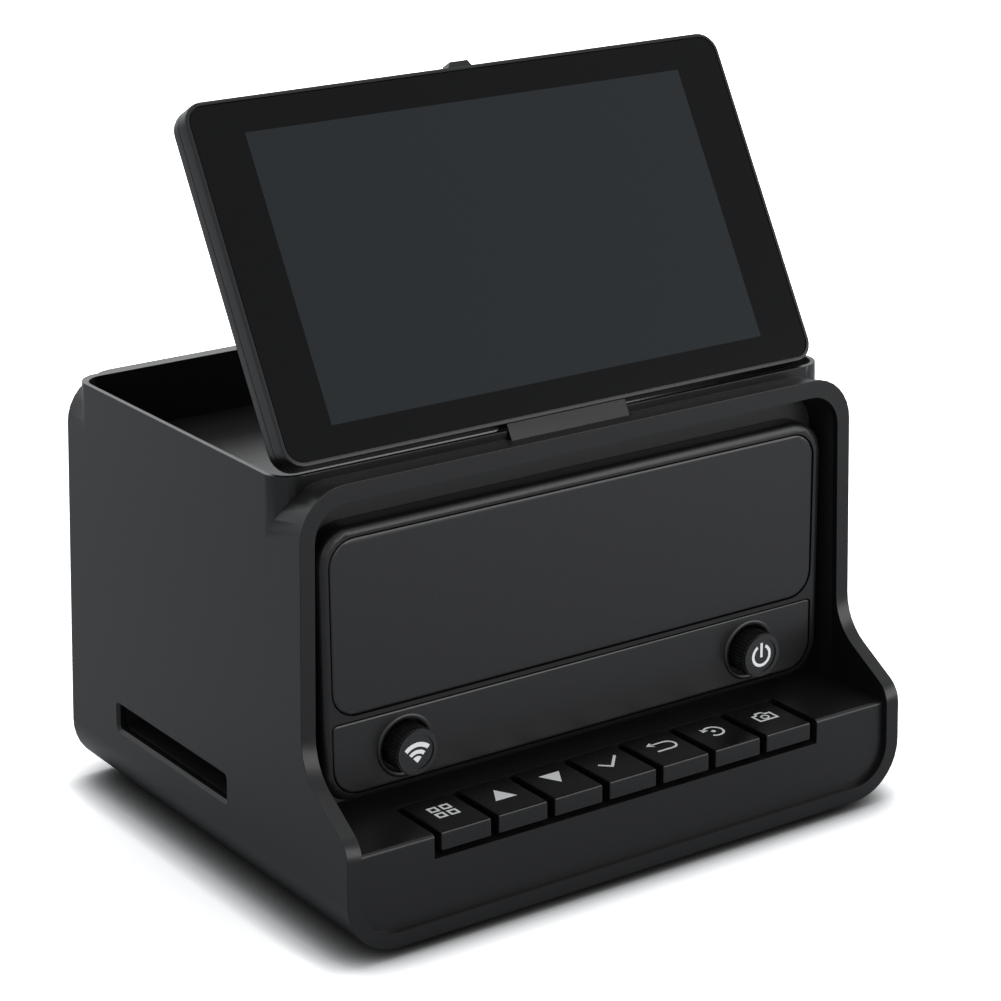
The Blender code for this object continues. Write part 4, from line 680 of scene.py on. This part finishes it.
def seamless_paper(colours, high_key):
    """Seamless background paper: overexposed to white, with a dark contact shadow painted into its colour near the
    scanner.
    """
    sockets = {"Specular IOR Level": 0.0, "Emission Color": WHITE}
    made, tree, shader = surface("seamless_paper", colours.floor, 0.9, sockets)
    seen = seen_rays(tree, PAPER_MIRRORED)
    shades = {0: seen, 6: (*colours.floor, 1.0), 7: (high_key, high_key, high_key, 1.0)}
    mixed = add(tree, "ShaderNodeMix", shades, data_type="RGBA", clamp_result=False)
    # Painted shadow: ambient occlusion near the scanner darkens the paper's colour, a contact shadow painted in.
    hollow = {"Distance": SHADOW_REACH}
    near = add(tree, "ShaderNodeAmbientOcclusion", hollow, samples=SHADOW_SAMPLES).outputs["AO"]
    depth = add(tree, "ShaderNodeMath", {0: near, 1: SHADOW_DEPTH}, operation="POWER").outputs[0]
    painted_shadow_inputs = {0: 1.0, 6: mixed.outputs[2], 7: depth}
    style = {"data_type": "RGBA", "blend_type": "MULTIPLY", "clamp_result": False}
    paper_with_painted_shadow = add(tree, "ShaderNodeMix", painted_shadow_inputs, **style)
    tree.links.new(paper_with_painted_shadow.outputs[2], shader.inputs["Base Color"])
    place = add(tree, "ShaderNodeTexCoord").outputs["Object"]
    reach = add(tree, "ShaderNodeVectorMath", {0: place}, operation="LENGTH").outputs["Value"]
    fade = {"Value": reach, "From Min": PAPER_FADE[0], "From Max": PAPER_FADE[1]}
    far = add(tree, "ShaderNodeMapRange", fade).outputs[0]
    lift = add(tree, "ShaderNodeMath", {0: far, 1: seen}, operation="MULTIPLY").outputs[0]
    tree.links.new(lift, shader.inputs["Emission Strength"])
    return made


def lay_floor(colours, high_key):
    """A wide sheet of paper level with the feet."""
    work = bmesh.new()
    bmesh.ops.create_grid(work, x_segments=4, y_segments=4, size=PAPER_HALF)
    mesh = bpy.data.meshes.new("floor")
    work.to_mesh(mesh)
    work.free()
    floor = bpy.data.objects.new("floor", mesh)
    bpy.context.scene.collection.objects.link(floor)
    mesh.materials.append(seamless_paper(colours, high_key))


def light_sky(stage):
    """White behind for the eye and for gloss, and a low plain level of light on the scanner."""
    world = bpy.data.worlds.new("sky")
    world.use_nodes = True
    tree = world.node_tree
    tree.nodes.clear()
    level = {"Value": seen_rays(tree, 1.0), "To Min": stage.sky, "To Max": 1.0}
    strength = add(tree, "ShaderNodeMapRange", level).outputs[0]
    tints = {0: seen_rays(tree, 0.0), 6: SKY_TINT, 7: WHITE}
    tint = add(tree, "ShaderNodeMix", tints, data_type="RGBA").outputs[2]
    shade = add(tree, "ShaderNodeBackground", {"Color": tint, "Strength": strength})
    add(tree, "ShaderNodeOutputWorld", {"Surface": shade.outputs[0]})
    bpy.context.scene.world = world


def hang_softbox(name, size, power, place):
    """A softbox of that width and height that faces the scanner."""
    light = bpy.data.lights.new(name, "AREA")
    light.shape = "ELLIPSE"
    light.size, light.size_y = size
    light.energy = power
    lamp = bpy.data.objects.new(name, light)
    bpy.context.scene.collection.objects.link(lamp)
    lamp.location = place
    lamp.rotation_mode = "QUATERNION"
    lamp.rotation_quaternion = (-lamp.location).to_track_quat("-Z", "Y")


def place_camera(stage):
    """The photograph's view."""
    turn, rise = math.radians(stage.azimuth), math.radians(stage.elevation)
    back = Vector((-math.sin(turn) * math.cos(rise), -math.cos(turn) * math.cos(rise), math.sin(rise)))
    right = (-back).cross(Vector((0.0, 0.0, 1.0))).normalized()
    up = right.cross(-back)
    roll = math.radians(stage.roll)
    tilted_right = right * math.cos(roll) + up * math.sin(roll)
    tilted_up = up * math.cos(roll) - right * math.sin(roll)
    data = bpy.data.cameras.new("photograph")
    data.sensor_width = SENSOR_WIDTH
    data.lens = stage.lens
    data.clip_start, data.clip_end = CLIP
    eye = bpy.data.objects.new("photograph", data)
    bpy.context.scene.collection.objects.link(eye)
    columns = (tilted_right, tilted_up, back, AIM + back * stage.distance)
    eye.matrix_world = Matrix([(*row,) for row in zip(*columns)] + [(0.0, 0.0, 0.0, 1.0)])
    bpy.context.scene.camera = eye


class SCANNER_OT_set_stage(bpy.types.Operator):
    """Lays the floor, sets the light and places the camera"""

    bl_idname = "scanner.set_stage"
    bl_label = "Stage"

    def execute(self, context):
        stage = context.scene.scanner_stage
        lay_floor(context.scene.scanner_colours, stage.high_key)
        light_sky(stage)
        for name, (setting, size, place) in SOFTBOXES.items():
            hang_softbox(name, size, getattr(stage, setting), place)
        place_camera(stage)
        context.scene.view_settings.view_transform = "Standard"
        return {"FINISHED"}


STEPS = (
    SCANNER_OT_set_stage,
    SCANNER_OT_dress_housing,
    SCANNER_OT_dress_panels,
    SCANNER_OT_dress_keys,
    SCANNER_OT_dress_buttons,
    SCANNER_OT_dress_display,
    SCANNER_OT_dress_works,
)


class SCANNER_PT_sidebar(bpy.types.Panel):
    """The scanner's settings and steps"""

    bl_idname = "SCANNER_PT_sidebar"
    bl_label = "Film Scanner"
    bl_space_type = "VIEW_3D"
    bl_region_type = "UI"
    bl_category = "Scanner"

    def draw(self, context):
        scene = context.scene
        for group in (scene.scanner_colours, scene.scanner_sizes, scene.scanner_stage):
            box = self.layout.box()
            for name in type(group).__annotations__:
                box.prop(group, name)
        for step in STEPS:
            self.layout.operator(step.bl_idname)


CLASSES = (ScannerColours, ScannerSizes, StageSettings, *STEPS, SCANNER_PT_sidebar)


def register():
    """Adds the classes and the scene's settings."""
    for cls in CLASSES:
        bpy.utils.register_class(cls)
    bpy.types.Scene.scanner_colours = PointerProperty(type=ScannerColours)
    bpy.types.Scene.scanner_sizes = PointerProperty(type=ScannerSizes)
    bpy.types.Scene.scanner_stage = PointerProperty(type=StageSettings)


def unregister():
    """Removes the scene's settings and the classes."""
    del bpy.types.Scene.scanner_stage
    del bpy.types.Scene.scanner_sizes
    del bpy.types.Scene.scanner_colours
    for cls in reversed(CLASSES):
        bpy.utils.unregister_class(cls)


def main():
    """Runs each step."""
    register()
    for step in STEPS:
        family, name = step.bl_idname.split(".")
        getattr(getattr(bpy.ops, family), name)()


if __name__ == "__main__":
    main()
